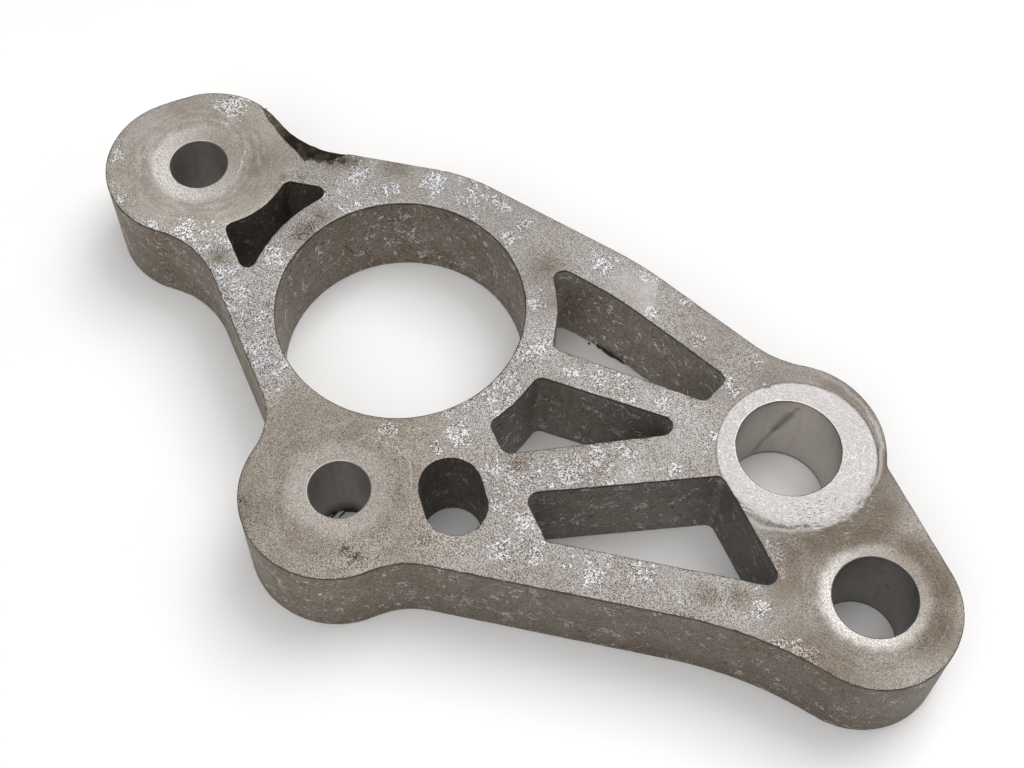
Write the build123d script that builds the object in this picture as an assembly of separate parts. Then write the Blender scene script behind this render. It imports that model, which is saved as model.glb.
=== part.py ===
from build123d import *

import os
from math import asin, atan2, cos, degrees, radians, sin, sqrt

# The bracket is one thick cast aluminium plate, faced on both sides. It lies flat on
# its underside. The origin is on the axis of the main bore, on the underside, and +X
# runs from bolt hole A to bolt hole D. Lengths are millimetres, angles are degrees.

# Plate
plate_thickness = 25.0
edge_break = 0.3

# Main bore, with the ring of metal round it that the windows are cut back to
main_bore_diameter = 55.0
main_bore_chamfer = 0.4
ring_wall = 7.3

# Bolt hole A, at the narrow end, with the mark its bolt head has pressed round it
hole_a_x = -61.2
hole_a_y = 3.05
hole_a_diameter = 13.2
seat_a_diameter = 21.6
seat_a_depth = 0.15

# Bolt hole B, on the lobe below the main bore
hole_b_x = 17.0
hole_b_y = -42.65
hole_b_diameter = 13.2

# Bushing hole C, with its spotface, which stands a little off the hole
hole_c_x = 87.4
hole_c_y = 21.5
hole_c_diameter = 22.4
seat_c_shift_x = 2.1
seat_c_shift_y = -0.2
seat_c_diameter = 34.0
seat_c_depth = 0.4

# Bolt hole D, at the wide end, with the worn seat round it
hole_d_x = 119.5
hole_d_y = 3.05
hole_d_diameter = 17.7
seat_d_shift_x = 0.5
seat_d_shift_y = -0.5
seat_d_diameter = 26.4
seat_d_depth = 0.35
hole_chamfer = 0.25

# Straight sides of the casting. Each runs from one round to the next, and is given by
# how far it stands out from their centres. The shoulder and the crown side are tangent
# to the body round the main bore, and the brace side is tangent to boss D.
body_radius = 38.0
shoulder_to_boss_a = 9.4
crown_angle = 4.6
crown_length = 39.2
fall_to_boss_c = 14.95
brace_to_boss_c = 16.45
front_to_boss_d = 10.7
front_to_boss_b = 12.1
hip_to_boss_b = 5.7
hip_to_boss_a = 7.2

# Bosses. The cast bosses stand a little off the machined holes.
boss_a_radius = 19.1
boss_a_stretch = 4.9
boss_a_angle = 59.0
boss_a_shift_x = -0.25
boss_a_shift_y = 0.35
boss_b_radius = 19.85
boss_b_shift_x = -0.8
boss_b_shift_y = -1.25
boss_c_radius = 20.4
boss_c_shift_x = 0.3
boss_c_shift_y = 0.2
boss_d_radius = 17.9
boss_d_shift_x = 1.1
boss_d_shift_y = -1.8

# Blends of the outline, from the neck at boss A round the far side and back
neck_far_blend = 22.0
crown_blend = 83.0
boss_c_left_blend = 23.0
boss_c_right_blend = 3.0
front_sweep_blend = 87.0
boss_b_right_blend = 18.0
boss_b_left_blend = 15.0
neck_near_blend = 22.0

# Rims left between the windows and the outline
far_rim = 10.5
front_rim = 10.7
hip_rim = 6.8

# Ribs between the windows. The upper rib runs from the main bore to boss C, the lower
# rib from boss B to boss C. A rib's width and its shift to the far side are given where
# it passes the centre of each of the two rounds.
upper_rib_bore_width = 9.35
upper_rib_bore_shift = -1.5
upper_rib_boss_c_width = 5.9
upper_rib_boss_c_shift = 0.7
lower_rib_boss_b_width = 8.6
lower_rib_boss_b_shift = -0.2
lower_rib_boss_c_width = 11.75
lower_rib_boss_c_shift = 0.6
oblong_web = 7.2
oblong_web_angle = -30.2
hole_c_web = 4.8
window_corner = 2.2
neck_window_corner = 1.8
crown_window_blend = 90.0

# Oblong relief hole, placed from bolt hole B
oblong_shift_x = 20.05
oblong_shift_y = 12.8
oblong_radius = 6.55
oblong_stretch = 4.6
oblong_angle = -38.8

# Low place in the far edge of the neck, which the facing cut has passed over. Its tip
# is placed from bolt hole A.
low_place_shift_x = 19.4
low_place_shift_y = 14.95
low_place_left_angle = 161.0
low_place_right_angle = 42.0
low_place_depth = 0.35


def side(angle, distance):
    """A straight side: its unit normal, and its distance from the bore's axis along it."""
    return (-sin(radians(angle)), cos(radians(angle)), distance)


def side_past(first, first_gap, second, second_gap):
    """The straight side that stands out to the left of the way from one point to another."""
    run_x = second[0] - first[0]
    run_y = second[1] - first[1]
    slope = asin((second_gap - first_gap) / sqrt(run_x**2 + run_y**2))
    angle = degrees(atan2(run_y, run_x) + slope)
    straight = side(angle, 0)
    return moved(straight, first_gap - reach(straight, first))


def moved(line, step):
    """The same side, moved along its normal."""
    return (line[0], line[1], line[2] + step)


def meet(first, second):
    """The point where two sides cross."""
    det = first[0] * second[1] - first[1] * second[0]
    x = (first[2] * second[1] - first[1] * second[2]) / det
    y = (first[0] * second[2] - first[2] * second[0]) / det
    return (x, y)


def reach(line, point):
    """How far a side lies beyond a point, along the side's normal."""
    return line[2] - line[0] * point[0] - line[1] * point[1]


def foot(line, point):
    """The point of a side that is nearest to a point."""
    gap = reach(line, point)
    return (point[0] + gap * line[0], point[1] + gap * line[1])


def crossing(line, centre, radius, forward):
    """Where a side leaves a round boss, forward or backward along the side."""
    near = foot(line, centre)
    half = forward * sqrt(radius**2 - reach(line, centre) ** 2)
    return (near[0] + half * line[1], near[1] - half * line[0])


def along(point, angle, length):
    """The point at a length from another one, in the direction of an angle."""
    return (point[0] + length * cos(radians(angle)), point[1] + length * sin(radians(angle)))


def panel(*corners):
    """A flat face with straight sides between its corners."""
    return make_face(Polyline(*corners, close=True))


def corner_of(shape, point):
    """The corner of a flat shape that lies nearest to a point."""
    return shape.vertices().sort_by_distance(Vector(*point, 0))[0]


def grown(shape, radius):
    """The faces of a flat shape grown all round, which rounds their corners."""
    return [offset(face, radius) for face in shape.faces()]


def recess(point, diameter, depth):
    """A flat round cut in the top face."""
    top = Pos(point[0], point[1], plate_thickness - depth)
    return top * extrude(Circle(diameter / 2), 2 * depth)


def bore(point, diameter, chamfer_size, top):
    """A hole through the plate with both ends chamfered. It ends at the height top."""
    profile = panel(
        (0, 0),
        (diameter / 2 + chamfer_size, 0),
        (diameter / 2, chamfer_size),
        (diameter / 2, top - chamfer_size),
        (diameter / 2 + chamfer_size, top),
        (0, top),
    )
    return Pos(*point, 0) * revolve(Plane.XZ * profile, Axis.Z)


bore_axis = (0, 0)
hole_a = (hole_a_x, hole_a_y)
hole_b = (hole_b_x, hole_b_y)
hole_c = (hole_c_x, hole_c_y)
hole_d = (hole_d_x, hole_d_y)
oblong_hole = (hole_b_x + oblong_shift_x, hole_b_y + oblong_shift_y)
seat_c = (hole_c_x + seat_c_shift_x, hole_c_y + seat_c_shift_y)
seat_d = (hole_d_x + seat_d_shift_x, hole_d_y + seat_d_shift_y)
boss_a = (hole_a_x + boss_a_shift_x, hole_a_y + boss_a_shift_y)
boss_b = (hole_b_x + boss_b_shift_x, hole_b_y + boss_b_shift_y)
boss_c = (hole_c_x + boss_c_shift_x, hole_c_y + boss_c_shift_y)
boss_d = (hole_d_x + boss_d_shift_x, hole_d_y + boss_d_shift_y)

shoulder = side_past(boss_a, shoulder_to_boss_a, bore_axis, body_radius)
crown = side(crown_angle, body_radius)
crown_end = along(foot(crown, bore_axis), crown_angle, crown_length)
fall = side_past(crown_end, 0, boss_c, fall_to_boss_c)
brace = side_past(boss_c, brace_to_boss_c, boss_d, boss_d_radius)
front = side_past(boss_b, -front_to_boss_b, boss_d, -front_to_boss_d)
hip = side_past(boss_a, -hip_to_boss_a, boss_b, -hip_to_boss_b)

# Outline: the web between the straight sides, then the bosses, then the blends
web = panel(
    foot(shoulder, boss_a),
    meet(shoulder, crown),
    meet(crown, fall),
    meet(fall, brace),
    foot(brace, boss_d),
    foot(front, boss_d),
    meet(front, hip),
    foot(hip, boss_a),
)
boss_a_slot = SlotCenterToCenter(boss_a_stretch, 2 * boss_a_radius)
boss_a_pad = Pos(*boss_a) * Rot(0, 0, boss_a_angle) * boss_a_slot
boss_b_pad = Pos(*boss_b) * Circle(boss_b_radius)
boss_c_pad = Pos(*boss_c) * Circle(boss_c_radius)
boss_d_pad = Pos(*boss_d) * Circle(boss_d_radius)
outline = web + boss_a_pad + boss_b_pad + boss_c_pad + boss_d_pad
for corner, blend in (
    (crossing(shoulder, boss_a, boss_a_radius, 1), neck_far_blend),
    (meet(shoulder, crown), body_radius),
    (meet(crown, fall), crown_blend),
    (crossing(fall, boss_c, boss_c_radius, -1), boss_c_left_blend),
    (crossing(brace, boss_c, boss_c_radius, 1), boss_c_right_blend),
    (crossing(front, boss_d, boss_d_radius, -1), front_sweep_blend),
    (crossing(front, boss_b, boss_b_radius, 1), boss_b_right_blend),
    (crossing(hip, boss_b, boss_b_radius, -1), boss_b_left_blend),
    (crossing(hip, boss_a, boss_a_radius, 1), neck_near_blend),
):
    outline = fillet(corner_of(outline, corner), blend)

# Sides of the windows. Each window is first drawn smaller all round by the radius of its
# corners, back from the rims, the ribs, the ring and the bosses, and is then grown back.
upper_rib_far = side_past(
    bore_axis,
    upper_rib_bore_shift + upper_rib_bore_width / 2 + window_corner,
    boss_c,
    upper_rib_boss_c_shift + upper_rib_boss_c_width / 2 + window_corner,
)
upper_rib_near = side_past(
    bore_axis,
    upper_rib_bore_shift - upper_rib_bore_width / 2 - window_corner,
    boss_c,
    upper_rib_boss_c_shift - upper_rib_boss_c_width / 2 - window_corner,
)
lower_rib_far = side_past(
    boss_b,
    lower_rib_boss_b_shift + lower_rib_boss_b_width / 2 + window_corner,
    boss_c,
    lower_rib_boss_c_shift + lower_rib_boss_c_width / 2 + window_corner,
)
lower_rib_near = side_past(
    boss_b,
    lower_rib_boss_b_shift - lower_rib_boss_b_width / 2 - window_corner,
    boss_c,
    lower_rib_boss_c_shift - lower_rib_boss_c_width / 2 - window_corner,
)
oblong_side = side(oblong_web_angle, 0)
oblong_gap = oblong_radius + oblong_web + window_corner
oblong_side = moved(oblong_side, oblong_gap - reach(oblong_side, oblong_hole))
hole_c_gap = hole_c_diameter / 2 + hole_c_web + window_corner
hole_c_side = moved(brace, -reach(brace, hole_c) - hole_c_gap)
crown_rim = moved(crown, -far_rim - window_corner)
fall_rim = moved(fall, -far_rim - window_corner)
front_inside = moved(front, front_rim + window_corner)
shoulder_rim = moved(shoulder, -far_rim - neck_window_corner)
hip_inside = moved(hip, hip_rim + neck_window_corner)
ring_radius = main_bore_diameter / 2 + ring_wall

# Windows
upper_window = panel(
    foot(crown_rim, bore_axis),
    meet(crown_rim, fall_rim),
    meet(fall_rim, upper_rib_far),
    foot(upper_rib_far, bore_axis),
)
crown_corner = corner_of(upper_window, meet(crown_rim, fall_rim))
upper_window = fillet(crown_corner, crown_window_blend - window_corner)
upper_window -= Circle(ring_radius + window_corner)
upper_window -= Pos(*boss_c) * Circle(boss_c_radius + window_corner)
middle_window = panel(
    meet(upper_rib_near, lower_rib_far),
    meet(lower_rib_far, oblong_side),
    meet(oblong_side, upper_rib_near),
)
middle_window -= Circle(ring_radius + window_corner)
lower_window = panel(
    meet(lower_rib_near, hole_c_side),
    meet(hole_c_side, front_inside),
    meet(front_inside, oblong_side),
    meet(oblong_side, lower_rib_near),
)
neck_window = panel(
    foot(shoulder_rim, bore_axis),
    foot(hip_inside, bore_axis),
    meet(hip_inside, shoulder_rim),
)
neck_boss = SlotCenterToCenter(boss_a_stretch, 2 * (boss_a_radius + neck_window_corner))
neck_window -= Circle(ring_radius + neck_window_corner)
neck_window -= Pos(*boss_a) * Rot(0, 0, boss_a_angle) * neck_boss
windows = [
    grown(upper_window, window_corner),
    grown(middle_window, window_corner),
    grown(lower_window, window_corner),
    grown(neck_window, neck_window_corner),
]
oblong_slot = SlotCenterToCenter(oblong_stretch, 2 * oblong_radius)
oblong = Pos(*oblong_hole) * Rot(0, 0, oblong_angle) * oblong_slot

# Plate, with the edges of the outline and of the windows broken top and bottom
section = outline - sum(windows, []) - oblong
plate = extrude(section, plate_thickness)
flat_faces = plate.faces().filter_by(Axis.Z)
plate = chamfer(flat_faces.edges(), edge_break)

# Low place, a shallow wedge that opens from its tip out over the far edge
low_tip = (hole_a_x + low_place_shift_x, hole_a_y + low_place_shift_y)
low_reach = 2 * boss_a_radius
low_place = panel(
    low_tip,
    along(low_tip, low_place_right_angle, low_reach),
    along(low_tip, low_place_left_angle, low_reach),
)
low_floor = Pos(0, 0, plate_thickness - low_place_depth)
low_cut = low_floor * extrude(low_place, 2 * low_place_depth)

# Seats round the holes, then the holes themselves
seats = [
    recess(hole_a, seat_a_diameter, seat_a_depth),
    recess(seat_c, seat_c_diameter, seat_c_depth),
    recess(seat_d, seat_d_diameter, seat_d_depth),
]
bores = [
    bore(bore_axis, main_bore_diameter, main_bore_chamfer, plate_thickness),
    bore(hole_a, hole_a_diameter, hole_chamfer, plate_thickness - seat_a_depth),
    bore(hole_b, hole_b_diameter, hole_chamfer, plate_thickness),
    bore(hole_c, hole_c_diameter, hole_chamfer, plate_thickness - seat_c_depth),
    bore(hole_d, hole_d_diameter, hole_chamfer, plate_thickness - seat_d_depth),
]
bracket = plate - low_cut - seats - bores

os.makedirs("parts", exist_ok=True)
export_step(bracket, "parts/bracket.step")
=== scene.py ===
# %% [markdown]
# # Dressing a cast aluminium bracket
# The CAD model gives the part its exact size: an outline, its holes and windows, and a few shallow seats.
# This lesson puts a detailed skin round it: rounded and chipped edges, cast relief, worn seats, and a finish
# that is salt-and-pepper grey on the faced side and dark on the raw walls.
# Everything is in metres in Blender, but a maker thinks in millimetres, so sizes are written in mm.

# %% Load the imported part
import math
from functools import partial

import bmesh
import bpy
import mathutils
import numpy as np
from mathutils import Matrix, Vector, geometry, kdtree


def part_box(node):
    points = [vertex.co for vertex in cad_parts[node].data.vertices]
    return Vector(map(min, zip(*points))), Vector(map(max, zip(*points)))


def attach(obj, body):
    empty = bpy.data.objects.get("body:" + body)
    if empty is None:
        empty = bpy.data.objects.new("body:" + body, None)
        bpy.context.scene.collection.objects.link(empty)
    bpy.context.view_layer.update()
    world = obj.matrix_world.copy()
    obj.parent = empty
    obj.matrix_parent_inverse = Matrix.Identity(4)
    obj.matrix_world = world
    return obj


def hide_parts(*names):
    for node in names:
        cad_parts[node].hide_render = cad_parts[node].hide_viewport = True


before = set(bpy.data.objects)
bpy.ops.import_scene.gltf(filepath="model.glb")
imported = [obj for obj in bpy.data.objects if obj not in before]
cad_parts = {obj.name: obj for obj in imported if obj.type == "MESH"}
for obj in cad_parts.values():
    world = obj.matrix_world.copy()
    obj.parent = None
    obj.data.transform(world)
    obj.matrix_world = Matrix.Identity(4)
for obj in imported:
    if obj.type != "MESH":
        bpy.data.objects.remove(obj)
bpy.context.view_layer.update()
cad_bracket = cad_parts["bracket"]
MM = 0.001
low_corner, high_corner = (np.array(corner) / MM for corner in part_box("bracket"))
thickness = high_corner[2]
print("CAD box in mm:", low_corner.round(2), high_corner.round(2))

# %% [markdown]
# ## Camera
# The photograph was taken by hand, from the near side and steeply above, with a slight roll.
# A camera is easiest to place by two points, where it stands and where it looks, and then the roll.
# Moving it back and using a longer lens flattens the perspective, so distance and lens go together.

# %% Camera
camera_place = Vector((138.16, -153.43, 361.89)) * MM
camera_aim = Vector((31.257, -1.070, 25.0)) * MM
camera_roll = math.radians(1.205)

camera_data = bpy.data.cameras.new("camera")
camera_data.lens = 62.863
camera_data.sensor_width = 36.0
camera_data.clip_start = 0.01
camera = bpy.data.objects.new("camera", camera_data)
bpy.context.scene.collection.objects.link(camera)
looking = (camera_aim - camera_place).to_track_quat("-Z", "Y").to_matrix().to_4x4()
camera.matrix_world = Matrix.Translation(camera_place) @ looking @ Matrix.Rotation(camera_roll, 4, "Z")
bpy.context.scene.camera = camera
print("camera distance in mm:", round((camera_aim - camera_place).length / MM, 1))

# %% [markdown]
# ## Wires
# Finishes and node trees need hundreds of small sums. Written node by node they are hard to read, so a wire stands
# for a value on its way through a tree, and wires can be added and multiplied as if they were plain numbers.
# Each sum still becomes one Math node, or one Vector Math node where a vector takes part.

# %% Node helpers
class Wire:
    """A value on its way through a node tree, from one node's output."""

    def __init__(self, socket):
        self.socket = socket

    def __add__(self, other):
        return calc("ADD", self, other)

    def __radd__(self, other):
        return calc("ADD", other, self)

    def __sub__(self, other):
        return calc("SUBTRACT", self, other)

    def __rsub__(self, other):
        return calc("SUBTRACT", other, self)

    def __mul__(self, other):
        return calc("MULTIPLY", self, other)

    def __truediv__(self, other):
        return calc("DIVIDE", self, other)

    def __rtruediv__(self, other):
        return calc("DIVIDE", other, self)

    def __abs__(self):
        return calc("ABSOLUTE", self)


def fill(socket, value):
    """Links a wire to an input, or writes a plain value into it. A colour's alpha may be left out."""
    if isinstance(value, Wire):
        socket.id_data.links.new(value.socket, socket)
    elif socket.type == "VECTOR" and isinstance(value, float):
        socket.default_value = (value,) * 3
    elif socket.type == "RGBA" and len(value) == 3:
        socket.default_value = (*value, 1.0)
    else:
        socket.default_value = value


def in_use(sockets, key):
    """A socket by number, or by name: the one in use, where a node has one for each type of data."""
    if isinstance(key, int):
        return sockets[key]
    return max((socket for socket in sockets if socket.name == key), key=lambda socket: socket.enabled)


def place(tree, kind, inputs=None, **settings):
    """Adds one node, with its settings and its inputs, and returns its outputs by number and by name."""
    node = tree.nodes.new(kind)
    for name, value in settings.items():
        setattr(node, name, value)
    for key, value in (inputs or {}).items():
        fill(in_use(node.inputs, key), value)
    keys = [*range(len(node.outputs)), *{socket.name for socket in node.outputs}]
    return {key: Wire(in_use(node.outputs, key)) for key in keys}


def tree_with(*values):
    """The tree that the wires among these values run through."""
    return next(value for value in values if isinstance(value, Wire)).socket.id_data


def calc(operation, *values):
    """One Math node on numbers, or one Vector Math node as soon as one of the values is a vector."""
    vector = any(isinstance(v, tuple) or isinstance(v, Wire) and v.socket.type in ("VECTOR", "RGBA") for v in values)
    node = place(tree_with(*values), "ShaderNodeVectorMath" if vector else "ShaderNodeMath", dict(enumerate(values)),
                 operation=operation)
    return node["Value" if not vector or operation in ("LENGTH", "DISTANCE", "DOT_PRODUCT") else "Vector"]


def scaled(vector, number):
    """A vector times a number that is a wire. Where a number has to turn into a vector first, Cycles puts that off,
    and in a big finish so many values then wait for it that the finish comes out black."""
    return place(tree_with(vector), "ShaderNodeVectorMath", {0: vector, 3: number}, operation="SCALE")["Vector"]


def clamped(value):
    """The same value, kept between 0 and 1 by the Math node that made it."""
    value.socket.node.use_clamp = True
    return value


def joined(x, y, z=0.0):
    """A vector from its three parts."""
    return place(tree_with(x, y, z), "ShaderNodeCombineXYZ", {0: x, 1: y, 2: z})[0]


def split(vector):
    """The three parts of a vector, by number."""
    return place(tree_with(vector), "ShaderNodeSeparateXYZ", {0: vector})


def ramp(value, start, end, low=0.0, high=1.0):
    """A smooth step from low to high, while value goes from start to end."""
    return place(tree_with(value), "ShaderNodeMapRange", {"Value": value, "From Min": start, "From Max": end,
                 "To Min": low, "To Max": high}, interpolation_type="SMOOTHSTEP")["Result"]


def noise(vector, size, detail=2.0, roughness=0.5, offset=None, colour=False):
    """A noise with features of about this size in metres. The offset gives another part of the same noise."""
    if offset is not None:
        vector = vector + offset
    made = place(tree_with(vector), "ShaderNodeTexNoise",
                 {"Vector": vector, "Scale": 1.0 / size, "Detail": detail, "Roughness": roughness})
    return made["Color" if colour else 0]


def blend(share, first, second, mode="MIX"):
    """The first colour where share is 0, and the second where it is 1."""
    return place(tree_with(share, first, second), "ShaderNodeMix", {0: share, 6: first, 7: second},
                 data_type="RGBA", blend_type=mode)[2]


def coat(ground, share, colour):
    """A colour laid over the ground."""
    return blend(share, ground, colour)


def tint(ground, share, colour):
    """The ground multiplied by a colour, which darkens or stains it."""
    return blend(share, ground, colour, "MULTIPLY")


def put(name, data):
    """A new object in the scene."""
    thing = bpy.data.objects.new(name, data)
    bpy.context.scene.collection.objects.link(thing)
    return thing


# %% [markdown]
# ## Studio
# The part lies on a white table under soft light. The light is strongest from above and behind, so the faced
# top is bright, the walls that face the camera are dark, and the foot has only a soft contact shadow.
# A large area light gives the softness. The world adds an even fill, as pale studio walls do.

# %% Table, light and fill
def plain_finish(name, colour, roughness):
    """A matte finish with a faint unevenness, for what isn't part of the object."""
    finish = bpy.data.materials.new(name)
    finish.use_nodes = True
    shader = finish.node_tree.nodes["Principled BSDF"].inputs
    shader["Roughness"].default_value = roughness
    spot = place(finish.node_tree, "ShaderNodeTexCoord")["Object"]
    paler = tuple(min(1.0, c * 1.02) for c in colour)
    fill(shader["Base Color"], blend(ramp(noise(spot, 0.05), 0.3, 0.7), colour, paler))
    return finish


def flat_sheet(name, half_size, height):
    """A square level sheet round the origin."""
    mesh = bpy.data.meshes.new(name)
    corners = [(x * half_size, y * half_size, height) for x, y in ((-1, -1), (1, -1), (1, 1), (-1, 1))]
    mesh.from_pydata(corners, [], [(0, 1, 2, 3)])
    return put(name, mesh)


foot_gap = 0.02  # the skin stays this far inside the part's top and foot, and the table lies as far below, in mm
table = flat_sheet("table", half_size=3.0, height=-foot_gap * MM)
table.data.materials.append(plain_finish("white_table", (0.86, 0.855, 0.85), 0.6))


def soft_light(name, place_at, aim_at, power, size=0.9):
    """A square area light, turned to what it lights."""
    data = bpy.data.lights.new(name, "AREA")
    data.shape, data.size, data.energy = "SQUARE", size, power
    towards = (aim_at - place_at).to_track_quat("-Z", "Y").to_matrix().to_4x4()
    put(name, data).matrix_world = Matrix.Translation(place_at) @ towards


middle = Vector((0.028, -0.011, 0.0))
for name, away, power in (("behind", (0.10, 0.75, 1.35), 13.1), ("overhead", (0.0, 0.0, 1.5), 6.8),
                          ("front", (0.10, -0.90, 1.2), 6.0)):
    soft_light(name, middle + Vector(away), middle, power)

world = bpy.data.worlds.new("studio")
world.use_nodes = True
background = world.node_tree.nodes["Background"].inputs
fill(background["Color"], (1.0, 0.995, 0.985))
fill(background["Strength"], 0.3)
scene = bpy.context.scene
scene.world = world
scene.view_settings.view_transform = "Standard"

# %% [markdown]
# ## The part's lines
# The bracket is a plate with upright walls, so one level cut at half height gives every wall as a closed line:
# the outline, five round holes, the relief slot and four windows. Cutting the CAD part, and not typing
# the lines again, keeps the skin exactly on it.
# The CAD part is a bag of loose triangles, so a copy is merged before the cut.

# %% Cut the CAD part at half height
def level_cut(part, height):
    """The closed lines, as arrays of x and y in mm, where a level plane meets the part's walls."""
    cut = bmesh.new()
    cut.from_mesh(part.data)
    bmesh.ops.remove_doubles(cut, verts=cut.verts, dist=0.001 * MM)
    everything = cut.verts[:] + cut.edges[:] + cut.faces[:]
    found = bmesh.ops.bisect_plane(cut, geom=everything, plane_co=(0, 0, height * MM), plane_no=(0, 0, 1))
    beside = {}
    for edge in found["geom_cut"]:
        if isinstance(edge, bmesh.types.BMEdge):
            first, second = edge.verts
            beside.setdefault(first, []).append(second)
            beside.setdefault(second, []).append(first)
    lines = []
    while beside:
        line = [next(iter(beside))]
        following = beside.pop(line[0])
        while following:
            line.append(following[0])
            following = [v for v in beside.pop(line[-1], []) if v in beside]
        lines.append(np.array([v.co[:2] for v in line]) / MM)
    cut.free()
    return lines


def area_of(line):
    """The area inside a closed line, positive where it runs anticlockwise."""
    x, y = line.T
    return 0.5 * float(np.sum(x * np.roll(y, -1) - y * np.roll(x, -1)))


wall_lines = sorted(level_cut(cad_bracket, thickness / 2), key=lambda line: -abs(area_of(line)))
outline_first = [line if (area_of(line) > 0) == (k == 0) else line[::-1] for k, line in enumerate(wall_lines)]
print("walls found:", len(outline_first), "with", [len(line) for line in outline_first], "points")

# %% [markdown]
# ## Even columns along each wall
# The skin's walls are grids: columns along the line, rows down the wall. A column every 0.75 mm is close enough for
# worn edges, and tight window corners get more, so that they stay round.
# The metal is always on the left of a line, so its right side points out of the metal.

# %% Columns
column_gap = 0.75
column_turn = math.radians(11)


def evenly(line):
    """The line again, with points column_gap apart on its straights and closer where it bends."""
    ahead = np.roll(line, -1, 0) - line
    keep = []
    for k in range(len(line)):
        before, after = line[k] - line[k - 1], ahead[k]
        turn = before[0] * after[1] - before[1] * after[0]
        keep.append(abs(turn) > 1e-4 * np.hypot(*before) * np.hypot(*after))
    line = line[np.array(keep)]
    ahead = np.roll(line, -1, 0) - line
    length = np.hypot(*ahead.T)
    heading = np.arctan2(ahead[:, 1], ahead[:, 0])
    turn = np.abs((heading - np.roll(heading, 1) + np.pi) % (2 * np.pi) - np.pi)
    weight = length / column_gap + (turn + np.roll(turn, -1)) / 2 / column_turn
    total = np.r_[0, np.cumsum(weight)]
    count = int(round(total[-1]))
    wanted = np.arange(count) * total[-1] / count
    side = np.clip(np.searchsorted(total, wanted, "right") - 1, 0, len(line) - 1)
    share = (wanted - total[side]) / weight[side]
    return line[side] + ahead[side] * share[:, None]


def outward(line):
    """Unit vectors that point out of the metal, to the right of the line."""
    along = np.roll(line, -1, 0) - np.roll(line, 1, 0)
    along /= np.hypot(*along.T)[:, None]
    return np.c_[along[:, 1], -along[:, 0]]


columns = [evenly(line) for line in outline_first]
print("columns:", [len(line) for line in columns], "in all", sum(map(len, columns)))

# %% [markdown]
# ## Which wall is which
# The bolt holes are bored smooth and the bushing's hole is honed, while the outline, the main bore, the slot and the
# windows keep their cast skin. A round line is found by its even distance from its middle, and its place says
# which hole it is.

# %% Name the walls
hole_places = {"main_bore": (0, 0), "hole_a": (-61.2, 3.05), "hole_b": (17, -42.65),
               "hole_c": (87.4, 21.5), "hole_d": (119.5, 3.05)}
window_places = {"neck_window": (-38.5, 1.1), "upper_window": (49.1, 20.0), "middle_window": (45.2, 2.0),
                 "lower_window": (75.6, -9.6), "relief_slot": (37, -29.8)}


def name_of(line):
    """The name of the wall whose line this is."""
    if area_of(line) > 0:
        return "outline"
    centre = (line.min(0) + line.max(0)) / 2
    radius = np.hypot(*(line - centre).T)
    places = hole_places if radius.max() - radius.min() < 0.05 else window_places
    return min(places, key=lambda name: np.hypot(*(centre - places[name])))


walls = {}
for line in columns:
    walls[name_of(line)] = line
print("walls:", {name: len(line) for name, line in walls.items()})

# %% [markdown]
# ## Where the faced top is lower
# A facing cut leaves the top flat, and later work and wear lower some of it: the bolt heads have pressed a shallow
# dish round holes A, B and D, a cutter has made the spotface round hole C, which wear has blurred on one side, and at
# the far edge of the neck the raw casting was too low for the cut. Its near-black colour is painted shade.
# Each is a small function of x and y that gives how far the surface sinks, so they can simply be added.

# %% Sinks of the top
def smooth(value, start, end):
    """0 before start, 1 after end, and a soft step between, for arrays."""
    share = np.clip((value - start) / (end - start), 0, 1)
    return share * share * (3 - 2 * share)


def waves(seed, size, count=24):
    """A wandering surface of about this wave length: returns a function of x and y, between about -1 and 1."""
    dice = np.random.default_rng(seed)
    turn, phase = dice.uniform(0, 2 * np.pi, (2, count))
    pace = 2 * np.pi / (size * dice.uniform(0.7, 1.6, count))

    def surface(x, y):
        total = np.zeros_like(np.asarray(x, float))
        for a, b, p in zip(pace * np.cos(turn), pace * np.sin(turn), phase):
            total += np.cos(a * x + b * y + p)
        return total / math.sqrt(count)
    return surface


rolling, coarse = waves(5, 9.0), waves(8, 3.2)
spotface_centre, spotface_radius, spotface_depth = (89.5, 21.3), 17.0, 0.4
seat_dishes = {"hole_a": (13.6, 0.42), "hole_d": (15.2, 0.55), "hole_b": (14.0, 0.08)}
low_edge = np.array([
    (-61.5, 25.0), (-60.2, 24.2), (-58, 23), (-56, 22), (-54, 21.4), (-52, 20.6), (-50, 20), (-48, 19.6),
    (-46, 19.2), (-44, 18.6), (-41.8, 17.9), (-41.6, 19.6), (-40.2, 20.0), (-38.8, 21.0), (-37.4, 21.6),
    (-36.6, 23.2), (-35.0, 25.6)])
low_depth, low_roughness = 0.4, 0.08
facing_depth, rolling_depth, coarse_depth, deepest = 0.03, 0.015, 0.012, 1.5


def from_centre(x, y, centre):
    """How far each point is from a centre."""
    return np.hypot(x - centre[0], y - centre[1])


def spotface(x, y):
    """1 on the spotface and 0 off it. Its lower right is worn away, so it fades there."""
    across = from_centre(x, y, spotface_centre)
    towards_worn = ((x - spotface_centre[0]) * 0.75 - (y - spotface_centre[1]) * 0.66) / np.maximum(across, 1e-6)
    reach = 0.12 + 1.5 * smooth(towards_worn, 0.35, 0.9)
    return 1 - smooth(across, spotface_radius - reach, spotface_radius + reach)


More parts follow.
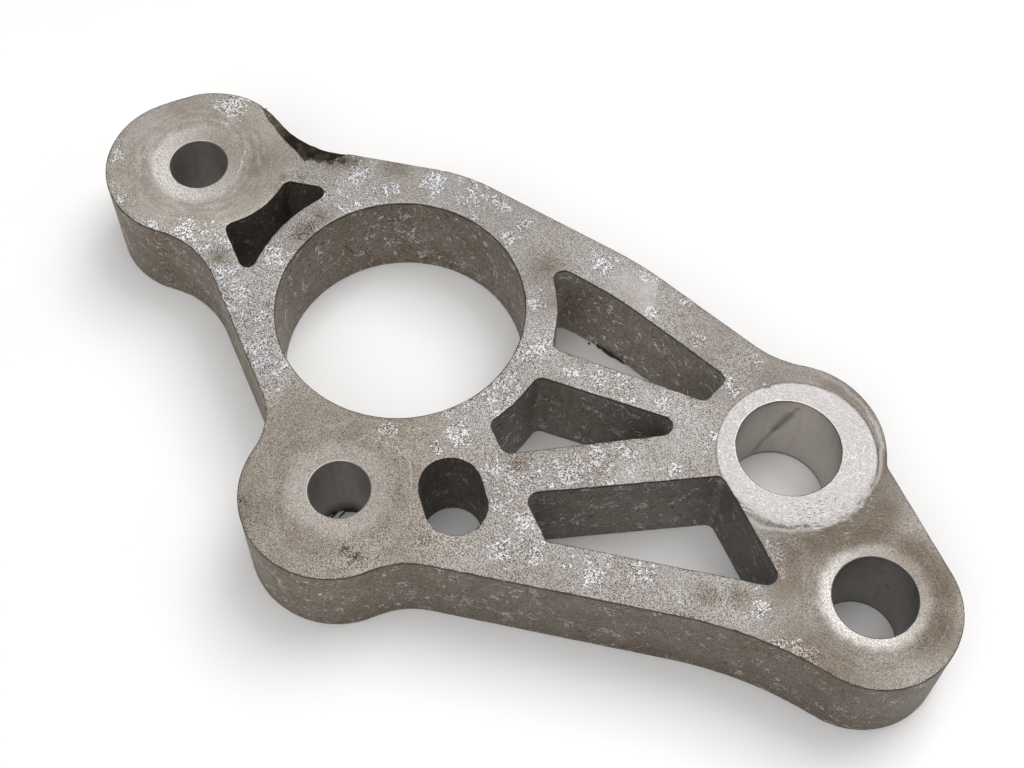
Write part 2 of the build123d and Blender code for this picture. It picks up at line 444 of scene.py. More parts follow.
def past_low_edge(x, y):
    """How far each point lies beyond the ragged line of the low place, in mm, negative on the faced side."""
    nearest = np.full(np.shape(x), 1e9)
    for start, end in zip(low_edge[:-1], low_edge[1:]):
        along = end - start
        share = np.clip(((x - start[0]) * along[0] + (y - start[1]) * along[1]) / (along @ along), 0, 1)
        nearest = np.minimum(nearest, np.hypot(x - start[0] - share * along[0], y - start[1] - share * along[1]))
    limit = np.interp(x, low_edge[:, 0], low_edge[:, 1], left=99, right=99)
    return np.where((y > limit) & (x > low_edge[0, 0]) & (x < low_edge[-1, 0]), nearest, -nearest)


def sink(x, y):
    """How far the top lies under its highest level, in mm."""
    depth = facing_depth + rolling_depth * rolling(x, y) + coarse_depth * coarse(x, y)
    for hole, (reach, deep) in seat_dishes.items():
        across = from_centre(x, y, hole_places[hole])
        depth = depth + deep * (1 - smooth(across, 5.0, reach))
    depth = depth + spotface_depth * spotface(x, y)
    low = smooth(past_low_edge(x, y), -0.1, 0.25)
    depth = depth + low * (low_depth + low_roughness * coarse(x, y))
    return np.clip(depth, 0.0, deepest)


print("depth at hole A's edge, spotface and low place:",
      sink(np.array([-54.5, 76.0, -45.0]), np.array([3.0, 21.0, 22.0])).round(2), "mm")

# %% [markdown]
# ## Worn edges
# No edge of a casting is a knife edge. Here the edge's width wanders along each line, and now and then something
# has knocked a chip out of it. The wander is a sum of a few waves round the closed line, so that it meets itself.

# %% Edge widths
def wander(count, most, seed):
    """A smooth value between about -1 and 1 for each column of a closed line, with up to `most` waves round it."""
    dice = np.random.default_rng(seed)
    round_it = np.arange(count) / count * 2 * np.pi
    turns = dice.integers(1, max(2, most), 40)
    total = sum(np.cos(turn * round_it + phase) for turn, phase in zip(turns, dice.uniform(0, 6.28, 40)))
    return total / math.sqrt(20) / 1.6


def chips(line, gap, seed, deepest):
    """How much wider the edge is in each column, for knocks about `gap` mm apart."""
    dice = np.random.default_rng(seed)
    count = max(1, int(len(line) * column_gap / gap))
    wider = np.zeros(len(line))
    for place_at, reach, depth in zip(dice.integers(0, len(line), count), dice.uniform(0.5, 2.2, count),
                                      dice.uniform(0.15, 1.0, count) ** 2 * deepest):
        away = np.abs((np.arange(len(line)) - place_at + len(line) // 2) % len(line) - len(line) // 2)
        wider = np.maximum(wider, depth * np.exp(-(away * column_gap / reach) ** 2))
    return wider


edge_width = {"main_bore": 0.3, "hole_a": 0.25, "hole_b": 0.25, "hole_c": 0.28, "hole_d": 0.28}
cast_edge_width, narrowest, widest = 0.24, 0.12, 0.8


def edge_of(name, seed):
    """The rounding's radius in each column of a wall, in mm."""
    line = walls[name]
    unevenness, chip_gap, deepest_chip = (0.1, 60, 0.15) if name in edge_width else (0.22, 45, 0.25)
    width = edge_width.get(name, cast_edge_width)
    width = width * (1 + unevenness * wander(len(line), len(line) // 4, seed))
    return np.clip(width + chips(line, chip_gap, seed + 1, deepest_chip), narrowest, widest)


# %% [markdown]
# ## The skin's walls
# Each wall is a grid. From the top down it has the rounding of the upper edge, the wall, and the rounding of the lower
# edge. The walls carry their run along the line and their height as a UV map, so that marks can follow them.

# %% Wall grids
rounding_steps = np.radians([0, 30, 60, 90])
wall_steps = np.linspace(0, 1, 15)[1:-1]
bulge_middle, bulge_reach, bulge_height = (-3.6, -44.0), 9.0, 0.45
skin_points, skin_faces, skin_kinds, skin_runs = [], [], [], []
# How much lighter or darker each wall is painted: painted light and shade for the light that reaches it.
wall_painted_light = {"outline": 1.0, "main_bore": 1.22, "upper_window": 2.05, "middle_window": 1.4, "lower_window": 1.4,
              "neck_window": 0.72, "relief_slot": 0.88, "hole_a": 2.15, "hole_b": 2.3, "hole_c": 0.97, "hole_d": 1.3}
wall_warmths = {"outline": 1.0, "main_bore": 0.8, "upper_window": 0.15, "neck_window": 0.7}
skin_painted_light, skin_edges, skin_warmths = [], [], []
top_rings, bottom_rings = {}, {}
FACED, CAST, BORED, HONED = range(4)


def painted_light_along(name, line, height):
    """How light a wall is painted in each column at a height, as painted light and shade. Some walls get darker along
    their run or at the foot.
    """
    tone = np.full(len(line), wall_painted_light[name])
    if name == "lower_window":
        tone = tone * (1 - 0.42 * smooth(line[:, 0], 74, 84))
    if name == "outline":
        tone = tone * (1.09 - 0.17 * smooth(line[:, 0], 20, 60))
    if name == "hole_b":
        tone = tone * (1 - 0.5 * smooth(-height, -4.6, -3.2))
    return tone


def wall_grid(name, seed):
    """Adds one wall's points and faces, and notes its first and last rows."""
    line, out = walls[name], outward(walls[name])
    count = len(line)
    upper, lower = edge_of(name, seed), edge_of(name, seed + 50)
    top = thickness - sink(*(line - out * upper[:, None]).T)
    bottom = foot_gap + foot_gap * (1 + wander(count, count // 6, seed + 9)) * 0.5
    rows = [(upper * (1 - np.sin(a)), top - upper * (1 - np.cos(a))) for a in rounding_steps]
    rows += [(0 * upper, (top - upper) * (1 - s) + (bottom + lower) * s) for s in wall_steps]
    rows += [(lower * (1 - np.sin(a)), bottom + lower * (1 - np.cos(a))) for a in rounding_steps[::-1]]
    first = sum(map(len, skin_points))
    bulge = bulge_height * (name == "outline") * np.exp(-((line - bulge_middle) ** 2).sum(1) / bulge_reach ** 2)
    for inset, height in rows:
        swell = bulge * np.sin(np.pi * np.clip(height / thickness, 0, 1))
        skin_points.append(np.c_[line - out * (inset - swell)[:, None], height])
        skin_painted_light.append(painted_light_along(name, line, height))
        skin_warmths.append(np.full(count, wall_warmths.get(name, 0.2)))
        on_edge = np.all((inset > 0.02) & (inset < 0.9 * np.maximum(upper, lower)))
        skin_edges.append(np.full(count, float(on_edge)))
    step = np.hypot(*(np.roll(line, -1, 0) - line).T)
    run = np.r_[0, np.cumsum(step)]
    kind = HONED if name == "hole_c" else BORED if name.startswith("hole") else CAST
    here, ahead = np.arange(count), (np.arange(count) + 1) % count
    for row, ((_, above), (_, below)) in enumerate(zip(rows, rows[1:])):
        a, b = first + row * count + here, first + row * count + ahead
        skin_faces.extend(np.c_[a, a + count, b + count, b].tolist())
        skin_kinds.extend([kind] * count)
        corners = ((run[:-1], above), (run[:-1], below), (run[1:], below[ahead]), (run[1:], above[ahead]))
        skin_runs.extend(np.stack([np.c_[along, height] for along, height in corners], 1).tolist())
    top_rings[name] = (first, skin_points[-len(rows)])
    bottom_rings[name] = (first + (len(rows) - 1) * count, skin_points[-1])


for number, name in enumerate(sorted(walls)):
    wall_grid(name, 100 + 7 * number)
print("wall points:", sum(map(len, skin_points)), "wall faces:", len(skin_faces))

# %% [markdown]
# ## The skin's flat faces
# The top and bottom are filled between the walls' edge rows. A triangulation that keeps given edges does this, and it
# also takes loose points inside, which carry the dishes and the relief. Lines of closer points run along both sides
# of each step, so that the spotface's rim and the low place's ragged edge stay crisp.

# %% Points inside the faces
def inside(points, lines):
    """True for each point that lies in the metal between these lines, seen from above."""
    x, y = points.T
    crossings = np.zeros(len(points), int)
    for line in lines:
        for (x1, y1), (x2, y2) in zip(line, np.roll(line, -1, 0)):
            spans = (y1 > y) != (y2 > y)
            if spans.any():
                crossings += spans & (x < (x2 - x1) * (y - y1) / (y2 - y1 + 1e-12) + x1)
    return crossings % 2 == 1


def tree_of(points):
    """A search tree for the nearest of these points."""
    tree = kdtree.KDTree(len(points))
    for k, (x, y) in enumerate(points):
        tree.insert((x, y, 0), k)
    tree.balance()
    return tree


def spaced(points, others, gap):
    """The points that stay at least gap away from the others."""
    tree = tree_of(others)
    return np.array([p for p in points if tree.find((p[0], p[1], 0))[2] >= gap])


def loose_points(gap, seed, row_share=0.866, jitter=0.16):
    """A jittered grid of points, gap apart, in rows like a honeycomb."""
    dice = np.random.default_rng(seed)
    x, y = np.meshgrid(np.arange(low_corner[0], high_corner[0], gap),
                       np.arange(low_corner[1], high_corner[1], gap * row_share))
    x[1::2] += gap / 2
    points = np.c_[x.ravel(), y.ravel()]
    return points + dice.uniform(-jitter, jitter, points.shape) * gap


def step_lines():
    """Points along both sides of each step of the top."""
    angle = np.arange(0, 2 * np.pi, 0.5 / spotface_radius)
    rounds = [np.c_[spotface_centre[0] + r * np.cos(angle), spotface_centre[1] + r * np.sin(angle)]
              for r in spotface_radius + np.array([-0.3, -0.13, 0.13, 0.3])]
    dense = np.concatenate([np.linspace(a, b, max(2, int(np.hypot(*(b - a)) / 0.45)), endpoint=False)
                            for a, b in zip(low_edge[:-1], low_edge[1:])])
    along = np.gradient(dense, axis=0)
    across = np.c_[-along[:, 1], along[:, 0]] / np.hypot(*along.T)[:, None]
    return np.concatenate(rounds + [dense + side * across for side in (-0.3, -0.1, 0.25, 0.5)])


# %% Fill the faces
edge_support = 0.16  # points this far inside the edge keep the shading of the flat face flat
from_edge, from_steps, from_border = 0.2, 0.55, 0.5  # least distances: the first in mm, the others in gaps
foot_relief = 0.012


def fill_face(rings, gap, seed, extra, top):
    """Triangles between the rings of one flat side, with loose points inside."""
    names = list(rings)
    lines = [rings[n][1][:, :2] for n in names]
    border = np.concatenate(lines)
    numbers = np.concatenate([rings[n][0] + np.arange(len(rings[n][1])) for n in names])
    edges, start = [], 0
    for n in names:
        count = len(rings[n][1])
        edges += [(start + k, start + (k + 1) % count) for k in range(count)]
        start += count
    loose = loose_points(gap, seed)
    close = np.concatenate([line[::2] - outward(line)[::2] * edge_support for line in lines])
    if len(extra):
        extra = spaced(extra[inside(extra, lines)], np.concatenate([border, close]), from_edge)
    extra = np.concatenate([extra.reshape(-1, 2), close])
    loose = spaced(loose, extra, gap * from_steps)
    loose = loose[inside(loose, lines)]
    loose = spaced(loose, border, gap * from_border)
    points = np.concatenate([border, extra, loose])
    made = geometry.delaunay_2d_cdt([Vector(p) for p in points.tolist()], edges, [], 0, 1e-6)
    if len(made[0]) != len(points):
        raise ValueError(f"the fill has {len(made[0])} points, not {len(points)}")
    given = np.array([before[0] for before in made[3]])
    triangles = given[np.array(made[2])]
    all_border = (triangles < len(border)).all(1)
    keep = ~all_border
    keep[all_border] = inside(points[triangles[all_border]].mean(1), lines)
    triangles = triangles[keep]
    first = sum(map(len, skin_points))
    inner = points[len(border):]
    height = thickness - sink(*inner.T) if top else foot_gap + foot_relief * (1 + coarse(*inner.T).clip(-1, 1))
    skin_points.append(np.c_[inner, height])
    for rows, value in ((skin_painted_light, 1.0), (skin_warmths, 1.0), (skin_edges, 0.0)):
        rows.append(np.full(len(inner), value))
    triangles = np.r_[numbers, first + np.arange(len(inner))][triangles]
    flat = np.concatenate(skin_points)[:, :2]
    corners = flat[triangles]
    area = np.cross(corners[:, 1] - corners[:, 0], corners[:, 2] - corners[:, 0])
    wrong = (area < 0) if top else (area > 0)
    triangles[wrong] = triangles[wrong][:, ::-1]
    skin_faces.extend(triangles.tolist())
    skin_kinds.extend([FACED] * len(triangles))
    skin_runs.extend(flat[triangles].tolist())
    return len(triangles)


top_count = fill_face(top_rings, gap=0.8, seed=21, extra=step_lines(), top=True)
bottom_count = fill_face(bottom_rings, gap=1.7, seed=22, extra=np.zeros((0, 2)), top=False)
print("top triangles:", top_count, "bottom triangles:", bottom_count)

# %% [markdown]
# ## Marks that the finish will need
# Stains, bright spangled patches and grime lie where the photograph shows them, and so do dulled spots that are
# partly stain and partly painted shade. They are kept in the mesh as soft masks, one number for each point, and the
# finish breaks them up with noise later. That way the mask stays coarse and cheap, and the fine detail comes from the
# material.

# %% Masks of the top
spangled = [
    (-65.7, 20.3, 3.6, 1), (-78.3, -6.3, 2.2, .8), (-68.5, -15.1, 2, .8), (-58.7, -15.6, 2.2, .7),
    (-51.5, -13, 3, 1), (-42.3, -9.6, 2.2, .8), (-42.8, -5.5, 1.6, .6), (-37.4, -16.2, 2.6, .9),
    (-30.7, -17.7, 2.6, .9), (-23.1, -20.5, 2.4, .9), (-18.9, -26.2, 2.4, .9), (-11, -27.2, 2.4, .8),
    (-30.3, -5.7, 3, .9), (-29.9, 21.8, 3, .8), (-32.5, 12.9, 2.2, .8), (-21.4, 23.9, 2.4, .8), (-14, 31.2, 3, .9),
    (-5.7, 34.2, 2.6, .8), (2.1, 35.2, 2.4, .8), (9.2, 33.9, 2.2, .7), (8.5, 28.4, 2.4, .8), (23.5, 19.1, 2.2, .8),
    (29.7, 6.8, 2.6, .8), (30.2, 0.2, 2.4, .8), (29.6, -5.8, 2.4, .8), (29.2, 36.1, 2.6, .9), (39.4, 38.6, 2.2, .8),
    (45.1, 31.8, 1.8, .8), (50, 38.3, 1.8, .7), (58.1, 31.6, 2, .8), (67.8, 27, 2, .7), (70.7, 35.3, 1.6, .7),
    (45.7, 11.6, 2.2, .8), (30.9, 10, 2.2, .8), (28.2, -2.9, 2.4, .8), (29.3, -18, 3.2, 1), (39.7, -22, 2.4, .8),
    (53.7, -10.3, 3.6, 1), (98, -1.7, 2.4, 1), (100.3, -4.2, 2, .8), (102.7, -13, 2.2, .9), (108.7, -17.2, 2, .9),
    (112.8, -16.2, 2.2, .9), (115.5, -15, 2, .7), (98.5, -9.5, 2, .6), (16.8, -25.4, 2.8, .8), (27.4, -22.8, 2, .6),
    (44, 12.9, 2, .7), (49.8, 14.1, 1.8, .7), (68.2, 27, 2, .9), (70.8, 25.8, 1.8, .7), (72.8, 14, 1.8, .7),
    (73.9, 11.3, 1.6, .6), (61.4, 0.2, 2, .7), (-15.3, -28.6, 2.2, .8), (-33.3, -6, 2.2, .8), (-45.2, -14.3, 2, .8),
    (56.4, -5.9, 2.2, .7), (76.1, 30.6, 1.4, .9), (22.5, -49, 2.4, .45), (20.3, -52.4, 2.4, .5),
    (23.6, -45.9, 2, .4), (59.7, -0.6, 2.4, .8), (71.1, -27.5, 2.6, .9), (64, -3, 2, .6), (36, -3, 2.4, .7),
    (46, -20, 2.4, .7), (62, -9, 2.2, .7), (40, 9.5, 2, .7), (54, 10.5, 2, .7), (60, 14, 2, .7), (-36, -13, 2, .7),
    (24, -14.8, 2.2, .7), (26, -10.5, 2, .7), (46, -26, 2.2, .7), (70.2, 2.8, 2.4, .8), (55.2, -3.9, 2.4, .8),
    (52.5, -25.4, 2.6, 1), (52.3, -33.9, 2.6, .9), (58.7, -30.6, 2.8, .9), (96.5, -0.5, 2.2, .8),
    (78.5, -21.5, 2.8, .9), (-30, -19, 9, .45), (-13, -28, 8, .45), (33, -6, 8, .45), (45, -18, 9, .45),
    (56, -29, 8, .4), (70, -26, 8, .4), (88, -22, 6, .3), (30, 7, 7, .4), (-26, 17, 9, .4), (-48, -12, 7, .4),
    (-5, 33, 8, .4), (60, -6, 9, .35), (48, 10, 6, .3)]
# Dulled spots darken the top: partly stains, partly painted shade.
dulled_and_shaded = [
    (57, -7, 11, .5), (46, 12, 8, .2), (45, -18, 8, .2), (30, -2, 8, .15), (17, -42.6, 22, .75), (5, -55, 10, .65),
    (35, -45, 12, .55), (0, -34, 9, .6), (104, 8, 8, 1), (108, 14, 9, 1), (106, 22, 6, .9), (111, 20, 6, 1),
    (101, -3, 9, 1), (106, 30, 6, .9), (112, 12, 5, .8), (93, 40, 8, .65), (135, 4, 7, .8), (130, 15, 7, .75),
    (120, 17, 6, .7), (118, -18, 13, .95), (96, -28, 10, .8), (97, -13.6, 3.4, .9), (92, -17, 4, .8),
    (-76, -6, 8, .35), (-68, -13, 6, .3), (119.5, -12, 12, .35), (-50, 11, 7, .75), (-50, 17, 4, .5),
    (-47, 5, 4, .6), (78, -27, 10, .5), (62, -36, 12, .5), (45, -24, 12, .4), (66, -8, 10, .4), (44, -15, 3, .8),
    (60, 34, 14, .45), (40, 30, 10, .3), (75, 36, 8, .5), (33, 0, 8, .35), (78, 4, 7, .5), (20, 27, 5, .9),
    (26, 21, 4, .6), (5, 33, 10, .25), (-29, 3, 4, .9), (-29.5, 8, 2.5, .7), (-40.6, -13.6, 2, .9),
    (-30, -20, 9, .2), (-37, 22, 3, .9), (-34, 24, 3, .8), (-24, 29, 3.5, .6), (-42, 8.5, 2, .7),
    (-43, 11.5, 1.6, .8), (-60, 12, 12, .45), (-72, 14, 6, .45), (-46, 4, 5, .45), (0, -57, 8, .5),
    (28, -30, 5, .55), (28, -57, 8, .5)]
granular = [
    (95, -15, 7, 1), (100, -13, 4, .8), (130, 6, 8, .4), (121, 16, 6, .3), (-30, -18, 12, 1), (-15, -27, 9, 1),
    (-42, -10, 7, .8), (-52, -14, 5, .7), (33, -5, 9, .9), (45, -18, 10, 1), (60, -6, 10, 1), (76, 5, 8, .8),
    (56, -30, 10, 1), (75, -26, 9, 1), (92, -24, 8, .9), (48, 10, 8, .9), (62, 18, 7, .8), (30, 8, 7, .8),
    (20, -28, 6, .6), (-29, 3, 4.5, 1), (40, -38, 8, 1), (30, -52, 9, .8), (60, -42, 8, .9), (17, -42.6, 12, .8),
    (119, 3, 12, .6), (100, 2, 6, .6), (-73, -5, 5, .6), (-70, -14, 5, .5), (68, 32, 6, .6), (50, 33, 6, .5),
    (34, 34, 5, .4), (20, 30, 5, .5), (90, -8, 8, .7), (118, -16, 6, .4), (-60, 14, 6, .3), (-28, 23, 5, .4)]
grimy = [
    (-41, 19.8, 1.5, 1.3), (-39.5, 20.6, 1.8, 1.5), (-37.5, 22, 2, 1.5), (-35, 23.4, 1.9, 1.3),
    (-32.6, 24.6, 1.8, 1), (-24, 29.5, 3, .5), (-39.5, 13.4, 1.5, .9), (-30, 1.5, 2, 1), (-29.3, 5, 1.6, 1),
    (-29.3, 8.4, 1.6, .9), (-43, 11, 1.6, .9), (-41.8, 6, 1.2, .7), (43.6, -16, 2.4, .9), (52.5, -33.5, 1.4, 1),
    (27, -37, 2.2, .7), (38, -41, 2.6, .7), (6, -60, 3.6, .8), (-2, -50, 3, .6), (132, 2, 3.4, .7), (119, -9, 3, .6),
    (26.6, -52.5, 1.5, 1.2), (29.3, -52.5, 1.6, 1.2), (2.7, -56.5, 2.2, 1), (9.8, -58.8, 1.6, .7), (-17, -37, 2, .6),
    (97.4, -13.4, 2.4, .45), (93.6, -16, 2.2, .45), (90, -17, 2, .3), (5, -48, 2.4, .4), (48, -46, 2.5, .5),
    (-10, -40, 2.4, .5), (-44.5, 8, 2.2, .8), (-45, 15, 1.6, .5), (19, 27, 2, .5), (88, -27, 4, .6),
    (25.5, -34, 1.2, .8)]
rubbed = [
    (64, -4, 3, .6), (-75, 3, 4, .3), (97, -6, 5, .4)]
rippled = [
    (98.5, 10.5, 2.8, 1), (100.5, 13.5, 3, 1), (101.5, 9.5, 2.6, .9), (105, 15.5, 3, .9), (97, 8.5, 2.4, .6),
    (106.5, 12.5, 3.4, .8), (106.8, 19.5, 3, .7), (110, 18, 3, .5), (131, 4, 4, .35), (127, 12, 4, .3)]
pale_patch = [
    (41, 36, 4.5, 1), (43, 33, 3.5, .9), (37, 35, 3.5, .7)]


def spots(x, y, centres):
    """The strongest of some soft round spots, each given as x, y, radius and strength."""
    most = np.zeros_like(x)
    for cx, cy, radius, strength in centres:
        most = np.maximum(most, strength * np.exp(-((x - cx) ** 2 + (y - cy) ** 2) / (1.2 * radius ** 2)))
    return most


points = np.concatenate(skin_points)
x, y, z = points.T
top_zone = 1.6  # the top's masks reach this far down, in mm
is_top = (z > thickness - top_zone).astype(float)
masks = {name: spots(x, y, centres) * is_top for name, centres in (
    ("spangle", spangled), ("dull", dulled_and_shaded), ("granular", granular), ("grime", grimy), ("rubbed", rubbed),
    ("pale", pale_patch), ("rippled", rippled))}
masks["spotface"] = spotface(x, y) * is_top
masks["low"] = smooth(past_low_edge(x, y), -0.06, 0.2) * is_top
for name, rows in (("tone", skin_painted_light), ("warmth", skin_warmths), ("edge", skin_edges)):
    masks[name] = np.concatenate(rows)
print({name: (round(float(m.min()), 2), round(float(m.max()), 2)) for name, m in masks.items()})

# %% Make the base skin
def keep_in_mesh(mesh, name, values):
    """Writes one number for each point of a mesh into it, under a name."""
    mesh.attributes.new(name, "FLOAT", "POINT").data.foreach_set("value", values.astype(np.float32))


def make_skin():
    """The base skin as one closed mesh, with its UV map, kinds and masks."""
    mesh = bpy.data.meshes.new("bracket_skin")
    mesh.from_pydata((points * MM).tolist(), [], skin_faces)
    mesh.polygons.foreach_set("use_smooth", [True] * len(skin_faces))
    runs = mesh.uv_layers.new(name="along_wall")
    runs.data.foreach_set("uv", np.array([c for face in skin_runs for c in face]).ravel() * MM)
    mesh.attributes.new("kind", "INT", "FACE").data.foreach_set("value", np.array(skin_kinds, np.int32))
    for name, values in masks.items():
        keep_in_mesh(mesh, name, values)
    mesh.update()
    return put("bracket_skin", mesh)


skin = make_skin()
print("base skin:", len(skin.data.vertices), "points,", len(skin.data.polygons), "faces")

# %% [markdown]
# ## Cast relief by Geometry Nodes
# Sand or a worn die leaves a casting slightly uneven, most on the raw walls and least in the bored holes.
# That unevenness follows the surface everywhere by one rule, so a node tree makes it: each point moves inwards along
# its normal by two noises, and pits go deeper where a third noise is high. Everything only sinks, so the part never
# grows out of its true size. The tree also hands each kind of face its finish.

# %% Relief tree
KIND_FINISHES = ("faced_aluminium", "cast_skin", "bored_aluminium", "honed_aluminium")
finishes = {name: bpy.data.materials.new(name) for name in KIND_FINISHES}
for finish in finishes.values():
    finish.use_nodes = True


def new_tree(kind, name, inputs, output):
    """A node tree with named inputs and one output: the tree, its output's socket, and its inputs as wires.

    An input comes with its first value: a number, a whole number, None for a vector, or the word Geometry.
    """
    tree = bpy.data.node_groups.new(name, kind)
    kinds = {type(None): "Vector", int: "Int", float: "Float", str: "Geometry"}
    for label, value in inputs.items():
        socket = tree.interface.new_socket(label, in_out="INPUT", socket_type="NodeSocket" + kinds[type(value)])
        if isinstance(value, (int, float)):
            socket.default_value = value
    made = "NodeSocketGeometry" if output == "Geometry" else "NodeSocketFloat"
    tree.interface.new_socket(output, in_out="OUTPUT", socket_type=made)
    given = [Wire(socket) for socket in tree.nodes.new("NodeGroupInput").outputs if socket.name]
    return tree, tree.nodes.new("NodeGroupOutput").inputs[0], given


def named_number(tree, name, data_type):
    """A number that is kept in the mesh under a name."""
    return place(tree, "GeometryNodeInputNamedAttribute", {"Name": name}, data_type=data_type)["Attribute"]


def of_kind(tree, number):
    """True on the faces of one kind."""
    kind = named_number(tree, "kind", "INT")
    return place(tree, "FunctionNodeCompare", {2: kind, 3: number}, data_type="INT", operation="EQUAL")[0]


def relief_tree():
    """Sinks a mesh along its normals by cast relief, and gives its kinds of faces their finishes."""
    tree, result, (shape, lump_depth, lump_size, grit_depth, grit_size, pit_depth, pit_size, seed) = new_tree(
        "GeometryNodeTree", "cast_relief", {
            "Geometry": "Geometry", "Lump depth": 0.00012, "Lump size": 0.007, "Grit depth": 0.00004,
            "Grit size": 0.0016, "Pit depth": 0.0002, "Pit size": 0.0028, "Seed": 4.0}, "Geometry")
    where = place(tree, "GeometryNodeInputPosition")[0]
    normal = place(tree, "GeometryNodeInputNormal")[0]

    def layer(size, shift):
        return place(tree, "ShaderNodeTexNoise", {"Vector": where, "W": seed + shift, "Scale": 1.0 / size,
                     "Detail": 1.5}, noise_dimensions="4D")[0]

    pits = ramp(layer(pit_size, 3.1), 0.66, 0.8) * pit_depth
    depth = layer(lump_size, 0.0) * lump_depth + layer(grit_size, 7.3) * grit_depth + pits
    inwards = scaled(normal, depth * named_number(tree, "rough_skin", "FLOAT") * -1.0)
    shape = place(tree, "GeometryNodeSetPosition", {"Geometry": shape, "Offset": inwards})[0]
    shape = place(tree, "GeometryNodeRealizeInstances", {0: shape})[0]
    for number, name in enumerate(KIND_FINISHES):
        chosen = {"Selection": of_kind(tree, number)} if number else {}
        shape = place(tree, "GeometryNodeSetMaterial", {"Geometry": shape, "Material": finishes[name], **chosen})[0]
    fill(result, shape)
    return tree


def grown_by(thing, tree, **inputs):
    """The plain mesh that a tree makes of an object. Inputs are set by their sockets' identifiers."""
    modifier = thing.modifiers.new(tree.name, "NODES")
    modifier.node_group = tree
    for socket in tree.interface.items_tree:
        label = socket.name.replace(" ", "_").lower()
        if socket.in_out == "INPUT" and label in inputs:
            modifier[socket.identifier] = inputs[label]
    made = bpy.data.meshes.new_from_object(thing.evaluated_get(bpy.context.evaluated_depsgraph_get()))
    thing.modifiers.remove(modifier)
    return made


# %% Grow the bracket
roughness_of_kind = {FACED: 0.3, CAST: 1.0, BORED: 0.12, HONED: 0.04}
rough_skin = np.zeros(len(points))
face_kinds = np.array(skin_kinds)
for kind, value in roughness_of_kind.items():
    members = np.unique(np.concatenate([np.ravel(skin_faces[k]) for k in np.flatnonzero(face_kinds == kind)]))
    rough_skin[members] = np.maximum(rough_skin[members], value)
keep_in_mesh(skin.data, "rough_skin", rough_skin)

bracket_mesh = grown_by(skin, relief_tree(), lump_depth=0.00012, grit_depth=0.00004, pit_depth=0.00022, seed=4.0)
bracket_mesh.name = "cast_bracket"
bracket = put("cast_bracket", bracket_mesh)
bpy.data.objects.remove(skin)
print("bracket:", len(bracket_mesh.polygons), "faces, finishes", [m.name for m in bracket_mesh.materials])

# %% [markdown]
# ## Crumbs on the raw walls
# Here and there a crumb of metal or sand sticks to a raw wall. The shape repeats hundreds of times, so a node tree
# strews one small ball: points are scattered on the raw faces, each gets the ball at its own size, pressed flat and
# sunk half into the wall. None is put near the part's widest places, because nothing may stand out of its true size.

# %% Crumb tree
CRUMB_ROOM = 0.0006
CRUMB_SIZES = {"density": 15000.0, "smallest": 0.0001, "largest": 0.0003, "seed": 3}


def crumb_tree():
    """Strews flat crumbs over the raw faces of a mesh, away from the sides of its box."""
    tree, result, (mesh, density, smallest, largest, seed, low, high) = new_tree(
        "GeometryNodeTree", "strewn_crumbs", {
            "Geometry": "Geometry", "Density": 15000.0, "Smallest": 0.0001, "Largest": 0.0003, "Seed": 3,
            "Low corner": None, "High corner": None}, "Geometry")
    where = place(tree, "GeometryNodeInputPosition")[0]
    above, below = split(where - low), split(high - where)
    room = above[0]
    for side in (above[1], above[2], below[0], below[1], below[2]):
        room = calc("MINIMUM", room, side)
    clear = place(tree, "FunctionNodeCompare", {0: room, 1: CRUMB_ROOM}, data_type="FLOAT",
                  operation="GREATER_THAN")[0]
    both = place(tree, "FunctionNodeBooleanMath", {0: of_kind(tree, CAST), 1: clear}, operation="AND")[0]
    strewn = place(tree, "GeometryNodeDistributePointsOnFaces", {
        "Mesh": mesh, "Selection": both, "Density": density, "Seed": seed})
    ball = place(tree, "GeometryNodeMeshIcoSphere", {"Radius": 1.0, "Subdivisions": 1})[0]
    flat = place(tree, "GeometryNodeTransform", {"Geometry": ball, "Scale": (1.0, 0.75, 0.5)})[0]
    size = place(tree, "FunctionNodeRandomValue", {"Min": smallest, "Max": largest, "Seed": seed},
                 data_type="FLOAT")["Value"]
    crumbs = place(tree, "GeometryNodeInstanceOnPoints", {
        "Points": strewn["Points"], "Instance": flat, "Rotation": strewn["Rotation"], "Scale": size})[0]
    whole = place(tree, "GeometryNodeRealizeInstances", {0: crumbs})[0]
    fill(result, place(tree, "GeometryNodeSetMaterial", {"Geometry": whole, "Material": finishes["cast_skin"]})[0])
    return tree


crumb_mesh = grown_by(bracket, crumb_tree(), **CRUMB_SIZES, low_corner=tuple(low_corner * MM),
                      high_corner=tuple(high_corner * MM))
crumb_mesh.name = "strewn_crumbs"
crumbs = put("strewn_crumbs", crumb_mesh)
faces_of_ball = 20
print("crumbs:", len(crumb_mesh.polygons) // faces_of_ball, "with", len(crumb_mesh.polygons), "faces")

# %% [markdown]
# ## Drips and burrs
# A few lumps are single events, so each is placed one by one: a drip of flash at the foot of the upper window, ragged
# threads at the foot of hole B, and small bright burrs on edges. Each is a ball, squashed, turned and roughened.

# %% Single lumps
def add_lump(shape, place_at, size, heading, seed, unevenness=0.45, waviness=1.7, seed_step=3.1):
    """Adds one rough lump to a shape. Its place and half sizes are in mm, and its heading in degrees."""
    ball = bmesh.ops.create_icosphere(shape, subdivisions=3, radius=1.0)["verts"]
    turn = Matrix.Rotation(math.radians(heading), 3, "Z")
    for point in ball:
        rough = 1 + unevenness * mathutils.noise.noise(point.co * waviness + Vector((seed * seed_step, 0.0, 0.0)))
        moved = turn @ Vector([c * s * rough for c, s in zip(point.co, size)]) + Vector(place_at)
        moved.z = min(max(moved.z, foot_gap), thickness - foot_gap)
        point.co = moved * MM


